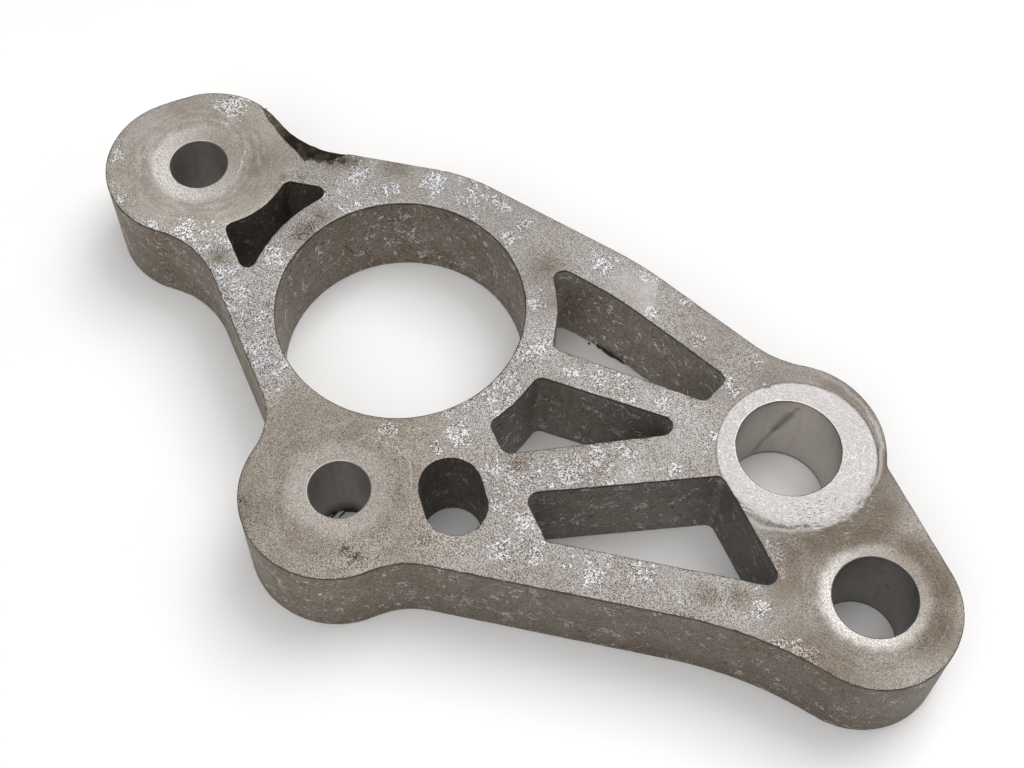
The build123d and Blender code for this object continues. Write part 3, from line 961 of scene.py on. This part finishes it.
def lumps(name, finish, tone, entries):
    """One piece with several lumps. The tone makes it lighter or darker than its wall."""
    shape = bmesh.new()
    for seed, (place_at, size, heading) in enumerate(entries):
        add_lump(shape, place_at, size, heading, seed)
    mesh = bpy.data.meshes.new(name)
    shape.to_mesh(mesh)
    shape.free()
    mesh.polygons.foreach_set("use_smooth", [True] * len(mesh.polygons))
    mesh.materials.append(finishes[finish])
    keep_in_mesh(mesh, "tone", np.full(len(mesh.vertices), tone))
    mesh.uv_layers.new(name="along_wall")
    return put(name, mesh)


drips = lumps("foot_drips", "cast_skin", 0.28, [
    ((36.4, 30.15, 0.55), (1.9, 0.5, 0.5), -6), ((34.0, 30.2, 0.4), (0.9, 0.3, 0.3), 8),
    ((39.4, 30.1, 0.5), (1.9, 0.3, 0.4), -3), ((37.9, 30.0, 0.4), (0.8, 0.35, 0.35), 12),
    ((31.5, 29.6, 0.25), (0.35, 0.25, 0.2), 0), ((11.3, -39.8, 0.4), (1.3, 0.22, 0.3), 85),
    ((12.6, -38.8, 0.4), (1.2, 0.16, 0.25), 82), ((13.6, -37.1, 0.6), (1.7, 0.4, 0.5), 35),
    ((17.5, -36.3, 0.5), (2.0, 0.35, 0.4), 2)])
burrs = lumps("edge_burrs", "faced_aluminium", 1.0, [
    ((76.0, 31.6, 24.9), (0.5, 0.28, 0.07), 40), ((75.4, 30.9, 24.9), (0.3, 0.2, 0.07), 10),
    ((-58.9, 24.5, 24.7), (0.3, 0.16, 0.14), 35), ((-42.3, 17.4, 24.9), (0.3, 0.2, 0.08), 0)])
print("lumps:", len(drips.data.polygons) + len(burrs.data.polygons), "faces")

# %% [markdown]
# ## Effects that several finishes share
# Rough aluminium has a salt-and-pepper grain, short curly strokes, slanted dashes, small dark pits, rings and turning
# marks round its holes, and single scratches. Each of these is a node group with its own sizes and strengths, built
# once, so that a finish only has to place it and choose its values.

# %% Grain, strokes and pits
def effect(name, inputs, output):
    """A shader node group to be filled. A vector goes in first, and one number comes out."""
    return new_tree("ShaderNodeTree", name, {"Vector": None, **inputs}, output)


def use(group, spot, **inputs):
    """Places an effect where the spot's wire runs, and returns what comes out."""
    named = {label.replace("_", " ").capitalize(): value for label, value in inputs.items()}
    return place(tree_with(spot), "ShaderNodeGroup", {"Vector": spot, **named}, node_tree=group)[0]


def make_grain():
    """Grain round 0.5: fine grains, coarser ones under them, and a maze of worm-like lines through both."""
    group, result, (spot, size, contrast, maze) = effect(
        "salt_and_pepper", {"Size": 0.0003, "Contrast": 1.6, "Maze": 0.14}, "Grain")
    fine = noise(spot, size, detail=0.0)
    broad = noise(spot, size * 2.4, detail=1.0, offset=(0.31, 0.77, 0.19))
    field = noise(spot, size * 4.4, detail=1.0, offset=(0.13, 0.59, 0.83))
    lines = calc("SINE", field * 34.0) * maze
    mixed = fine * 0.74 + broad * 0.26 - 0.5 + lines * 0.5
    fill(result, clamped(mixed * contrast + 0.5))
    return group


def make_strokes():
    """Short curly strokes: the level lines of a warped noise, broken into dashes by another."""
    group, result, (vector, size, width, share, length) = effect(
        "curly_strokes", {"Size": 0.0012, "Width": 0.1, "Share": 0.4, "Length": 0.75}, "Strokes")
    sets = []
    for offset in ((0.0, 0.0, 0.0), (0.53, 0.21, 0.37)):
        spot = vector + offset
        warp = noise(spot, size, detail=1.0, colour=True) - 0.5
        field = noise(spot + scaled(warp, size * 1.6), size, detail=0.0)
        thin = ramp(abs(field - 0.5) / width, 0.35, 1.0, 1.0, 0.0)
        broken = noise(spot, size * length, detail=0.0, offset=(0.9, 0.1, 0.4))
        sets.append(thin * ramp(broken - (0.72 - share * 0.44), -0.03, 0.03))
    fill(result, calc("MAXIMUM", *sets))
    return group


def make_pits():
    """Small dark pits: the middles of some of a random set of cells."""
    group, result, (spot, spacing, size, share) = effect("pits", {"Spacing": 0.002, "Size": 0.2, "Share": 0.2}, "Pits")
    bent = spot + noise(spot, 0.0006, colour=True) * 0.0003
    cells = place(group, "ShaderNodeTexVoronoi", {"Vector": bent, "Scale": 1.0 / spacing})
    chance = place(group, "ShaderNodeSeparateColor", {0: cells["Color"]})[0]
    near = ramp(cells["Distance"] / size, 0.6, 1.0, 1.0, 0.0)
    fill(result, near * calc("LESS_THAN", chance, share))
    return group


# %% Rings, turning marks, scratches and dashes
def round_axis(spot, x, y):
    """From an upright axis at x and y to each point, level: the distance and the heading."""
    step = (spot - joined(x, y)) * (1.0, 1.0, 0.0)
    return calc("LENGTH", step), calc("NORMALIZE", step)


def make_ring():
    """1 near an upright axis and 0 further out, with a wandering edge, and stronger towards one side."""
    group, result, (spot, wandering, x, y, inner, outer, heading, lean) = effect("ring", {
        "Wander": 0.5, "Centre x": 0.0, "Centre y": 0.0, "Inner": 0.01, "Outer": 0.02, "Heading": -1.8,
        "Lean": 0.0}, "Share")
    across, towards = round_axis(spot, x, y)
    near = ramp(across + (wandering - 0.5) * 0.0022, inner, outer, 1.0, 0.0)
    best = joined(calc("COSINE", heading), calc("SINE", heading))
    facing = (1.0 - calc("DOT_PRODUCT", towards, best)) * 0.5
    fill(result, near * calc("MAXIMUM", 1.0 - facing * lean, 0.0))
    return group


def make_turned():
    """Fine marks round an upright axis, as a turning tool leaves them, strongest between two radii."""
    group, result, (spot, x, y, gap, inner, outer) = effect("turned_marks", {
        "Centre x": 0.0, "Centre y": 0.0, "Gap": 0.0006, "Inner": 0.01, "Outer": 0.02}, "Marks")
    across, towards = round_axis(spot, x, y)
    aside = split(towards)
    marks = noise(joined(across / gap, aside[0] * 3.0, aside[1] * 3.0), 1.0) - 0.5
    fade = (outer - inner) * 0.4
    fill(result, marks * (ramp(across, inner, inner + fade) * ramp(across, outer - fade, outer, 1.0, 0.0)))
    return group


def make_scratch():
    """A scratch from one place to another: 1 in its middle and 0 beside it."""
    group, result, (spot, start_place, end_place, width) = effect(
        "scratch", {"Start": None, "End": None, "Width": 0.0003}, "Scratch")
    along, step = end_place - start_place, spot - start_place
    share = clamped(calc("DOT_PRODUCT", step, along) / calc("DOT_PRODUCT", along, along))
    fill(result, ramp(calc("DISTANCE", step, scaled(along, share)) / width, 0.25, 1.0, 1.0, 0.0))
    return group


def make_dashes():
    """Short dashes, one in the middle of some of a random set of cells, each at its own slant."""
    group, result, (spot, spacing, length, width, share, slant) = effect("dashes", {
        "Spacing": 0.003, "Length": 0.0008, "Width": 0.00012, "Share": 0.4, "Slant": 2.0}, "Dashes")
    bent = spot + (noise(spot, 0.0011, detail=1.0, colour=True) - 0.5) * (0.0009, 0.0009, 0.0)
    cells = place(group, "ShaderNodeTexVoronoi", {"Vector": bent, "Scale": 1.0 / spacing}, voronoi_dimensions="2D")
    dice = place(group, "ShaderNodeSeparateColor", {0: cells["Color"]})
    angle = (dice[0] - 0.5) * slant + 1.57
    cosine, sine = calc("COSINE", angle), calc("SINE", angle)
    step = bent - cells["Position"]
    along = abs(calc("DOT_PRODUCT", step, joined(cosine, sine)))
    across = abs(calc("DOT_PRODUCT", step, joined(sine * -1.0, cosine)))
    thin = ramp(across / width, 0.35, 1.0, 1.0, 0.0) * calc("LESS_THAN", dice[1], share)
    fill(result, thin * ramp(along / length, 0.7, 1.0, 1.0, 0.0))
    return group


grain, strokes, pits, ring = make_grain(), make_strokes(), make_pits(), make_ring()
turned, scratch, dashes = make_turned(), make_scratch(), make_dashes()
print("effects:", [group.name for group in (grain, strokes, pits, ring, turned, scratch, dashes)])

# %% [markdown]
# ## The faced side
# The faced aluminium is a warm light grey that sparkles in fine light and dark grains. White spangled patches of
# etched crystals lie on it, brown stains between them that are partly painted shade, and brighter pressed rings round
# the bolt holes, each with a painted highlight on one side. One colour is laid over the last by a mask: metal, stains
# and grime, etched crystals, dulled places with painted shade, the rings round the holes with their painted light and
# shade, worn places and scratches, and last the painted shade of the low place.

# %% Parts of a finish
def start(name, metallic, roughness):
    """A finish's tree, its shader's inputs, and Object coordinates."""
    tree = finishes[name].node_tree
    shader = tree.nodes["Principled BSDF"].inputs
    shader["Metallic"].default_value = metallic
    shader["Roughness"].default_value = roughness
    return tree, shader, place(tree, "ShaderNodeTexCoord")["Object"]


def mask(tree, name):
    """One of the mesh's masks."""
    return place(tree, "ShaderNodeAttribute", attribute_name=name)["Fac"]


def bump(shader, height, distance):
    """A bump that the shader's normal takes."""
    inputs = {"Height": height, "Distance": distance, "Strength": 1.0}
    fill(shader["Normal"], place(tree_with(height), "ShaderNodeBump", inputs)[0])


def metres(place_in_mm):
    """A place in metres."""
    return tuple(c * MM for c in place_in_mm)


def ring_at(spot, wandering, hole, inner, outer, lean=0.0, heading=-1.8):
    """1 round a hole and 0 further out, with a wandering edge. With lean it is stronger towards its heading."""
    x, y = metres(hole_places[hole])
    return use(ring, spot, wander=wandering, centre_x=x, centre_y=y, inner=inner * MM, outer=outer * MM, lean=lean,
               heading=heading)


def turned_round(spot, centre, inner, outer, gap=0.0006):
    """Turning marks round a centre, from about -0.3 to 0.3."""
    x, y = metres(centre)
    return use(turned, spot, centre_x=x, centre_y=y, inner=inner * MM, outer=outer * MM, gap=gap)


def one_scratch(spot, start_place, end_place, width):
    """A scratch between two places, all in mm."""
    return use(scratch, spot, start=metres(start_place), end=metres(end_place), width=width * MM)


def scratched(spot, marks):
    """The strongest of some scratches, each given by its two ends in mm, its width in mm and its strength."""
    ragged_spot = spot + (noise(spot, 0.0012, colour=True) - 0.5) * 0.0007
    broken = ramp(noise(spot, 0.0016, detail=1.0, offset=(0.2, 0.2, 0.2)), 0.3, 0.5, 0.35, 1.0)
    strongest = 0.0
    for *ends_and_width, strength in marks:
        strongest = calc("MAXIMUM", strongest, one_scratch(ragged_spot, *ends_and_width) * strength)
    return strongest * broken


def speckle(spot, size, share, offset):
    """Grains of this size, more of them where share is higher: 0 shows none, and 1 about half of them."""
    return ramp(noise(spot, size, detail=1.0, offset=offset) - (0.74 - share * 0.24), -0.01, 0.05)


# %% Scratches on the top
def stroke(start_x, start_y, end_x, end_y, width, strength):
    """One scratch on the top's surface, in mm."""
    ends = [(x, y, thickness - float(sink(np.array([x]), np.array([y]))[0]))
            for x, y in ((start_x, start_y), (end_x, end_y))]
    return *ends, width, strength


light_scratches = [stroke(*values) for values in (
    (13, -29.5, 21, -28.2, 0.16, 0.35), (20.4, -27.8, 25.2, -29, 0.16, 0.45), (13, -32, 14, -28.5, 0.14, 0.4),
    (25.2, -29, 29.3, -34, 0.16, 0.35), (-54.8, 12.2, -53.6, 9.2, 0.2, 0.5), (-54.0, 10.9, -52.9, 8.0, 0.18, 0.5),
    (-53.2, 9.3, -52.2, 6.4, 0.2, 0.5), (-52.6, 7.6, -51.8, 5.2, 0.16, 0.4), (98.5, 6.5, 102.5, 9.4, 0.22, 0.6),
    (87, 3.4, 92, 4.8, 0.2, 0.6), (86, 3.8, 88.4, 4.7, 0.2, 0.5), (92.3, 4.2, 97.3, 5.9, 0.2, 0.4),
    (104.4, 14.2, 106.2, 18.4, 0.3, 0.4))]
dark_scratches = [stroke(*values) for values in (
    (23.2, -34.4, 23.8, -33.3, 0.3, 0.9), (25, 32, 28, 31.2, 0.22, 0.7), (58.6, 35.8, 58.8, 36, 0.3, 0.9),
    (59.8, 36.6, 60, 36.8, 0.3, 0.9), (-8, -37.6, -7.2, -37, 0.4, 0.9), (99, 5.6, 103.4, 8.8, 0.2, 0.8),
    (101.5, 17.6, 101.9, 16.2, 0.26, 0.6))]
print("scratches on the top:", len(light_scratches), "light and", len(dark_scratches), "dark")


# %% Faced metal, stains and crystals
def stained_metal(spot, grainy, patch, grime, dull, calm, grains):
    """Grained metal with its stains, grime, etched crystals, and dulled places that are partly stain and partly
    painted shade. Calm places have few grains.
    """
    ground = blend(grains, (0.108, 0.094, 0.078), (0.570, 0.550, 0.538))
    ground = tint(ground, ramp(noise(spot, 0.012, detail=4.0), 0.40, 0.66) * 0.36, (0.75, 0.69, 0.62))
    patchy = ramp(noise(spot, 0.0035, detail=3.0, offset=(0.3, 0.9, 0.5)), 0.35, 0.65)
    ground = tint(ground, patchy * 0.25, (0.78, 0.74, 0.70))
    pepper = speckle(spot, 0.00038, (grainy * 0.62 + grime + 0.04) * calm, (0.2, 0.5, 0.1))
    ground = coat(ground, pepper * 0.85, (0.062, 0.048, 0.034))
    crust = speckle(spot, 0.0005, ramp(grime, 0.6, 1.3) * 1.8, (0.4, 0.1, 0.8))
    ground = coat(ground, crust * 0.85, (0.045, 0.036, 0.026))
    salt = speckle(spot, 0.00036, (grainy * 0.62 + 0.02) * calm, (0.7, 0.2, 0.6))
    ground = coat(ground, salt * ramp(calm, 0.3, 0.75, 0.0, 0.85), (0.70, 0.69, 0.695))
    worms = use(strokes, spot, size=0.0006, width=0.07, share=grainy * 0.55)
    ground = coat(ground, worms * ramp(grainy, 0.0, 0.15, 0.0, 0.45), (0.64, 0.625, 0.62))
    ground = tint(ground, patch * 0.75, (0.40, 0.388, 0.407))
    curls = use(strokes, spot, size=0.0008, width=0.055, share=patch * 0.85) * ramp(patch, 0.0, 0.15)
    crystals = speckle(spot, 0.0004, patch * 0.62, (0.1, 0.6, 0.3)) * patch
    ground = coat(ground, calc("MAXIMUM", curls, crystals) * 0.92, (0.79, 0.785, 0.815))
    uneven = ramp(noise(spot, 0.004, detail=5.0), 0.25, 0.6, 0.82, 1.06)
    # The dulled places: a brown darkening, partly stain and partly painted shade.
    return tint(ground, clamped(dull * uneven), (0.50, 0.44, 0.37))


# %% Rings round the holes
def worked_holes(ground, spot, near_hole, grains):
    """Turning marks, stains with painted light and shade, and pressed rings with a painted highlight on one side,
    round the holes.
    """
    turning = (turned_round(spot, hole_places["hole_a"], 7.5, 18.5, 0.0011) * 1.4
               + turned_round(spot, hole_places["hole_d"], 11.0, 18.5) * 0.8
               + turned_round(spot, hole_places["hole_b"], 9.0, 21.0, 0.0011) * 0.7
               + turned_round(spot, spotface_centre, 16.8, 20.0)) * (grains * 1.4 + 0.4)
    ground = coat(ground, calc("MAXIMUM", turning, 0.0), (0.50, 0.47, 0.44))
    ground = coat(ground, calc("MAXIMUM", turning * -1.0, 0.0), (0.12, 0.10, 0.085))
    # Brown and grey darken round the holes as stains and painted shade, warm lightens round hole A as painted light,
    # and ochre is a stain.
    brown_stain_and_shade, grey_stain_and_shade, warm_painted_light, ochre = (0.50, 0.44, 0.36), (0.52, 0.495, 0.46), (1.18, 1.17, 1.11), (1.04, 1.0, 0.91)
    for hole, inner, outer, lean, heading, strength, colour in (
            ("hole_d", 14.5, 17.5, 1.35, 0.9, 0.8, brown_stain_and_shade), ("hole_d", 17.0, 22.0, 1.2, -1.6, 0.25, grey_stain_and_shade),
            ("hole_a", 19.0, 24.0, 0.0, 0.9, 1.0, warm_painted_light), ("hole_c", 18.0, 22.0, 0.9, 0.9, 0.35, brown_stain_and_shade),
            ("hole_c", 24.0, 30.0, 1.8, -0.66, 0.5, grey_stain_and_shade), ("hole_b", 24.0, 34.0, 0.0, 0.9, 0.6, ochre),
            ("hole_d", 18.0, 24.0, 0.0, 0.9, 0.5, ochre)):
        ground = tint(ground, clamped(near_hole(hole, inner, outer, lean, heading) * strength), colour)
    # The pressed rings are worn seats, and their lean makes one side brighter: a painted highlight.
    pressed_seat_and_highlight = blend(use(grain, spot, size=0.00028, contrast=2.6), (0.36, 0.332, 0.308), (0.84, 0.80, 0.775))
    for hole, inner, outer, lean, strength in (("hole_a", 9.6, 11.8, 0.95, 0.86), ("hole_d", 10.0, 12.6, 0.8, 0.95),
                                               ("hole_b", 9.0, 12.8, 0.4, 0.32)):
        ground = coat(ground, near_hole(hole, inner, outer, lean) * strength, pressed_seat_and_highlight)
    return ground


# %% Worn places on the top
def worn_places(ground, tree, spot, near_hole):
    """Rubbed and pale places, the spotface and its shoulder, torn ripples, and single scratches."""
    ground = coat(ground, mask(tree, "rubbed") * 0.5, (0.46, 0.44, 0.43))
    within_line = 0.05532 - calc("DOT_PRODUCT", spot, (0.897, 0.441, 0.0))
    pale = mask(tree, "pale") * ramp(within_line, 0.0, 0.0003)
    ground = coat(ground, pale * 0.38, (0.60, 0.57, 0.56))
    shoulder = clamped(near_hole("hole_c", 19.4, 20.2, 1.0, -0.2) - near_hole("hole_c", 18.7, 19.4, 1.0, -0.2))
    ground = coat(ground, shoulder * 0.6, (0.50, 0.47, 0.45))
    cut = blend(use(grain, spot, size=0.0005, contrast=1.1), (0.365, 0.343, 0.338), (0.565, 0.538, 0.532))
    shore = mask(tree, "spotface") + (noise(spot, 0.0016, detail=4.0) - 0.5) * 1.6
    ground = coat(ground, ramp(shore, 0.3, 0.7), cut)
    along_and_across = (calc("DOT_PRODUCT", spot, axis) for axis in ((0.24, 0.18, 0.0), (-0.61, 0.80, 0.0)))
    ripples = noise(joined(*along_and_across), 0.00036, detail=3.0)
    rippled = mask(tree, "rippled")
    ground = coat(ground, rippled * ramp(ripples, 0.52, 0.62, 0.0, 0.75), (0.15, 0.125, 0.10))
    ground = coat(ground, rippled * ramp(ripples, 0.42, 0.34, 0.0, 0.5), (0.64, 0.61, 0.59))
    ground = coat(ground, scratched(spot, dark_scratches), (0.12, 0.11, 0.10))
    return coat(ground, scratched(spot, light_scratches), (0.72, 0.70, 0.68))


def low_place_painted_shade(spot):
    """The low place's near-black painted shade, browner and grainier towards its left end."""
    leftwards = ramp(split(spot)[0], -0.049, -0.057)
    stain = clamped(ramp(noise(spot, 0.002, detail=4.0), 0.45, 0.65, 0.0, 0.35) + leftwards)
    painted_shade_colour = blend(stain, (0.024, 0.020, 0.016), (0.115, 0.092, 0.064))
    grained = blend(use(grain, spot, size=0.0004, contrast=3.0), (0.03, 0.025, 0.02), (0.20, 0.165, 0.12))
    return coat(painted_shade_colour, leftwards * 0.9, grained)


# %% Faced aluminium
def faced_aluminium():
    """The faced side's finish."""
    tree, shader, spot = start("faced_aluminium", 0.6, 0.55)
    spangle, grainy, grime, dull = (mask(tree, name) for name in ("spangle", "granular", "grime", "dull"))
    near_hole = partial(ring_at, spot, noise(spot, 0.004, detail=3.0))
    smoothest = clamped(dull * 0.38)
    for hole, inner, outer, strength in (("hole_a", 17.0, 22.0, 0.62), ("hole_d", 12.0, 16.0, 0.3),
                                         ("hole_b", 13.0, 20.0, 0.25)):
        smoothest = calc("MAXIMUM", smoothest, near_hole(hole, inner, outer) * strength)
    calm = 1.0 - smoothest
    torn = (noise(spot, 0.0019, detail=4.0, roughness=0.6) - 0.5) * 2.4
    patch = ramp(spangle * 1.12 + torn, 0.42, 0.68)
    contrast = (grainy * 2.3 + patch * 2.2 + 2.3) * calm
    grains = use(grain, spot, size=0.00026, contrast=contrast, maze=grainy * 0.2 + 0.06)
    ground = stained_metal(spot, grainy, patch, grime, dull, calm, grains)
    ground = worked_holes(ground, spot, near_hole, grains)
    ground = worn_places(ground, tree, spot, near_hole)
    low = mask(tree, "low")
    # The low place is coated with its painted shade.
    fill(shader["Base Color"], coat(ground, low, low_place_painted_shade(spot)))
    fill(shader["Metallic"], low * 0.4 + 0.6)
    fill(shader["Roughness"], grains * 0.22 + 0.45)
    bump(shader, use(grain, spot, size=0.00026, contrast=3.0), 0.00004)


faced_aluminium()

# %% [markdown]
# ## Raw cast walls
# The walls never met a cutter. They are a darker grey-brown with soft patches, thin light strokes and a few pits,
# and each wall is painted lighter or darker as a whole, as painted light and shade, with painted shade along its
# edges.
# A few marks that are easy to recognise are placed one by one, by their two ends.

# %% Marks on the walls
dark_wall_marks = [
    ((-19.2, 19.7, 18.3), (-16.8, 21.7, 18.0), 0.4, 1.0), ((-22.3, 16.0, 15.6), (-19.4, 19.4, 15.2), 0.36, 0.9),
    ((-8.0, 26.3, 23.1), (-7.2, 26.5, 22.8), 0.6, 1.0), ((44.3, 6.6, 7.2), (45.5, 7.0, 3.9), 0.35, 0.8),
    ((45.5, 7.0, 3.9), (47.0, 7.4, 7.8), 0.3, 0.7), ((59.4, -10.9, 10.4), (60.2, -10.8, 10.2), 0.5, 0.9),
    ((74.3, 2.5, 6.9), (74.5, 2.5, 6.2), 0.5, 0.9), ((36.0, 30.1, 2.2), (44.0, 29.9, 1.6), 0.5, 0.6),
    ((-25.2, 10.9, 13.0), (-24.6, 12.3, 9.2), 0.4, 0.7)]
light_wall_marks = [
    ((31.8, -22.9, 7.8), (38.8, -22.9, 22.5), 0.2, 0.6), ((-16.7, 21.8, 10.8), (-13.4, 24.0, 10.2), 0.26, 0.9),
    ((-15.8, 22.5, 13.2), (-14.3, 23.5, 8.8), 0.26, 0.9), ((-15.0, 23.0, 14.2), (-16.4, 22.0, 10.0), 0.24, 0.8),
    ((-21.7, 17.1, 16.4), (-19.7, 19.4, 14.7), 0.22, 0.7), ((25.4, 29.6, 21.8), (27.1, 29.8, 20.5), 0.4, 0.8),
    ((28.5, 29.9, 20.0), (30.6, 30.0, 18.0), 0.22, 0.8), ((31.7, 30.1, 15.5), (34.1, 30.1, 15.5), 0.3, 0.7),
    ((43.8, 29.8, 18.2), (46.4, 29.6, 14.5), 0.26, 0.8), ((50.8, 29.2, 13.8), (54.2, 29.0, 11.2), 0.24, 0.8),
    ((60.9, -9.6, 15.8), (61.9, -8.8, 18.5), 0.3, 0.8), ((62.3, -8.4, 18.8), (63.4, -7.4, 20.5), 0.3, 0.8),
    ((59.4, -11.0, 11.5), (60.7, -9.8, 14.2), 0.3, 0.6), ((-43.3, -3.4, 24.0), (-42.6, -2.0, 23.2), 0.3, 0.9),
    ((8.6, 26.1, 17.5), (11.4, 25.0, 10.8), 0.2, 0.7), ((11.2, 25.1, 17.5), (14.1, 23.6, 10.5), 0.2, 0.8),
    ((13.2, 24.1, 15.2), (16.5, 22.0, 9.5), 0.2, 0.7), ((15.1, 22.9, 16.5), (18.5, 20.3, 11.0), 0.2, 0.7),
    ((84.0, 5.0, 23.2), (86.1, 3.8, 21.6), 0.26, 0.8), ((88.5, 2.4, 24.3), (90.8, 1.1, 23.8), 0.26, 0.9),
    ((87.7, 2.9, 20.7), (89.7, 1.8, 18.2), 0.24, 0.7), ((92.9, 0.0, 22.7), (95.1, -1.3, 22.0), 0.26, 0.9),
    ((92.1, 0.4, 18.2), (94.2, -0.8, 16.5), 0.24, 0.7), ((96.9, -2.4, 22.2), (98.4, -3.2, 20.5), 0.24, 0.8)]
print("marks on the walls:", len(dark_wall_marks), "dark and", len(light_wall_marks), "light")


# %% Cast skin
def with_painted_light(tree, ground):
    """The ground made lighter or darker for its wall: painted light and shade that stand in for how much light reaches
    each wall.
    """
    tone = mask(tree, "tone")
    return tint(ground, 1.0, joined(tone, tone, tone))


def stroked_skin(ground, spot, unrolled, warmth):
    """Light and dark strokes and dashes, and a few pits. Warm walls have fewer strokes."""
    black, light = (0.05, 0.043, 0.036), (0.50, 0.455, 0.41)
    ground = coat(ground, use(pits, spot, spacing=0.004, size=0.12, share=0.25), (0.03, 0.026, 0.022))
    clusters = (1.0 - warmth * 0.3) * ramp(noise(spot, 0.0044, offset=(0.6, 0.3, 0.9)), 0.55, 0.66)
    curls = use(strokes, spot, size=0.0018, width=0.036, share=clusters, length=1.3)
    ground = coat(ground, curls * 0.9, (0.56, 0.515, 0.47))
    dark_curls = use(strokes, spot + (0.35, 0.15, 0.25), size=0.0016, width=0.035, share=clusters * 0.6 + 0.1,
                     length=1.6)
    ground = coat(ground, dark_curls * 0.5, black)
    dark_dashes = use(dashes, unrolled + (0.21, 0.43, 0.0), spacing=0.007, length=0.0012, width=0.0002, share=0.35,
                      slant=5.0)
    ground = coat(ground, dark_dashes * 0.7, black)
    light_dashes = use(dashes, unrolled, spacing=0.0036, length=0.0009, width=0.00014, share=0.33, slant=2.4)
    return coat(ground, light_dashes * 0.75, light)


def cast_skin():
    """The raw walls' finish."""
    tree, shader, spot = start("cast_skin", 0.5, 0.55)
    unrolled = place(tree, "ShaderNodeUVMap", uv_map="along_wall")[0]
    warmth = mask(tree, "warmth")
    grains = use(grain, spot, size=0.00032, contrast=warmth * 0.8 + 1.5)
    ground = blend(grains, (0.066, 0.055, 0.042), (0.310, 0.268, 0.216))
    cloudy = ramp(noise(spot, 0.009, detail=4.0), 0.40, 0.66)
    ground = tint(ground, cloudy * (warmth * 0.28 + 0.22), (0.70, 0.58, 0.45))
    dusty = ramp(noise(spot, 0.006, detail=3.0, offset=(0.4, 0.8, 0.2)), 0.55, 0.75)
    ground = coat(ground, dusty * 0.35, (0.26, 0.24, 0.215))
    patchy = ramp(noise(spot, 0.0022, detail=3.0, offset=(0.3, 0.9, 0.5)), 0.35, 0.65)
    ground = tint(ground, patchy * 0.25, (0.72, 0.68, 0.64))
    smudges = ramp(noise(unrolled * (0.35, 1.0, 1.0), 0.0011), 0.64, 0.74)
    ground = coat(ground, smudges * 0.7, (0.05, 0.043, 0.035))
    ground = stroked_skin(ground, spot, unrolled, warmth)
    ground = tint(ground, (1.0 - warmth) * 0.9, (0.93, 1.0, 1.13))
    # Painted shade: the edge roundings are darkened in broken patches, so that they show no highlight.
    painted_edge_shade = mask(tree, "edge") * ramp(noise(spot, 0.003, detail=3.0), 0.35, 0.6)
    ground = coat(with_painted_light(tree, ground), painted_edge_shade * 0.7, (0.06, 0.052, 0.044))
    ground = coat(ground, scratched(spot, dark_wall_marks), (0.03, 0.026, 0.022))
    ground = coat(ground, scratched(spot, light_wall_marks), (0.40, 0.365, 0.33))
    # Painted shade: a dark line along the top of each raw wall.
    painted_edge_line = ramp(split(spot)[2] + noise(spot, 0.0025, detail=3.0) * 0.0007, 0.02468, 0.02482)
    fill(shader["Base Color"], coat(ground, painted_edge_line * 0.75, (0.035, 0.03, 0.026)))
    fill(shader["Roughness"], grains * 0.2 + 0.48)
    bump(shader, grains, 0.00006)


cast_skin()

# %% [markdown]
# ## Bored and honed holes
# A boring tool leaves fine marks round the hole, so the noise is stretched along the wall and pressed flat in height.
# Some dark marks break its evenness. A dark diagonal band on hole C's wall, a dark line at the foot and a darker
# top edge are painted shade.

# %% Bored finishes
def bored(name, low, high, roughness, streaks, painted_edge_shade, dark_marks_and_shade):
    """A bored wall: fine marks round it, soft upright streaks of oil and dirt, dark marks, and painted shade on its
    top edge and at its foot.
    """
    tree, shader, spot = start(name, 0.75, roughness)
    unrolled = place(tree, "ShaderNodeUVMap", uv_map="along_wall")[0]
    marks = noise(unrolled * (0.08, 1.0, 1.0), 0.00035)
    upright = noise(unrolled * (1.0, 0.12, 1.0), 0.0016, detail=3.0)
    ground = blend(ramp(marks, 0.3, 0.7), low, high)
    ground = with_painted_light(tree, tint(ground, ramp(upright, 0.45, 0.7) * streaks, (0.6, 0.57, 0.54)))
    for *ends_and_width, strength in dark_marks_and_shade:
        ground = coat(ground, one_scratch(spot, *ends_and_width) * strength, (0.10, 0.092, 0.080))
    # Painted shade: the top edge is darkened, most in hole C, so that it shows no highlight.
    ground = tint(ground, mask(tree, "edge") * painted_edge_shade, (0.30, 0.28, 0.27))
    # Painted contact shadow: a dark band at the foot of the hole.
    painted_foot_shadow = ramp(split(spot)[2], 0.0012, 0.0004, 0.0, 0.75)
    fill(shader["Base Color"], coat(ground, painted_foot_shadow, (0.05, 0.046, 0.042)))
    bump(shader, marks, 0.000006)


bored("bored_aluminium", (0.17, 0.16, 0.152), (0.215, 0.203, 0.193), roughness=0.45, streaks=0.3, painted_edge_shade=0.2, dark_marks_and_shade=[
    ((119.2, 11.9, 13.4), (119.9, 11.9, 13.0), 0.5, 0.8), ((117.1, 11.6, 17.8), (117.7, 11.8, 17.5), 0.4, 0.7)])
# Hole C's dark diagonal band, given by its ends and widths, is painted shade.
bored("honed_aluminium", (0.50, 0.465, 0.43), (0.56, 0.52, 0.482), roughness=0.33, streaks=0.2, painted_edge_shade=0.8, dark_marks_and_shade=[
    ((83.6, 31.9, 22.0), (80.2, 30.1, 10.5), 0.9, 0.45), ((82.4, 31.5, 18.6), (80.6, 30.4, 12.5), 1.9, 0.42),
    ((80.6, 30.4, 12.5), (77.9, 27.6, 2.0), 1.0, 0.4)])
print("finishes:", list(finishes))

# %% [markdown]
# ## Join the frame
# The skin and its pieces ride on the part's only body and stand in for the CAD solid, which is hidden.

# %% Attach the pieces
for piece in (bracket, crumbs, drips, burrs):
    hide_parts("bracket")
    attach(piece, "root")
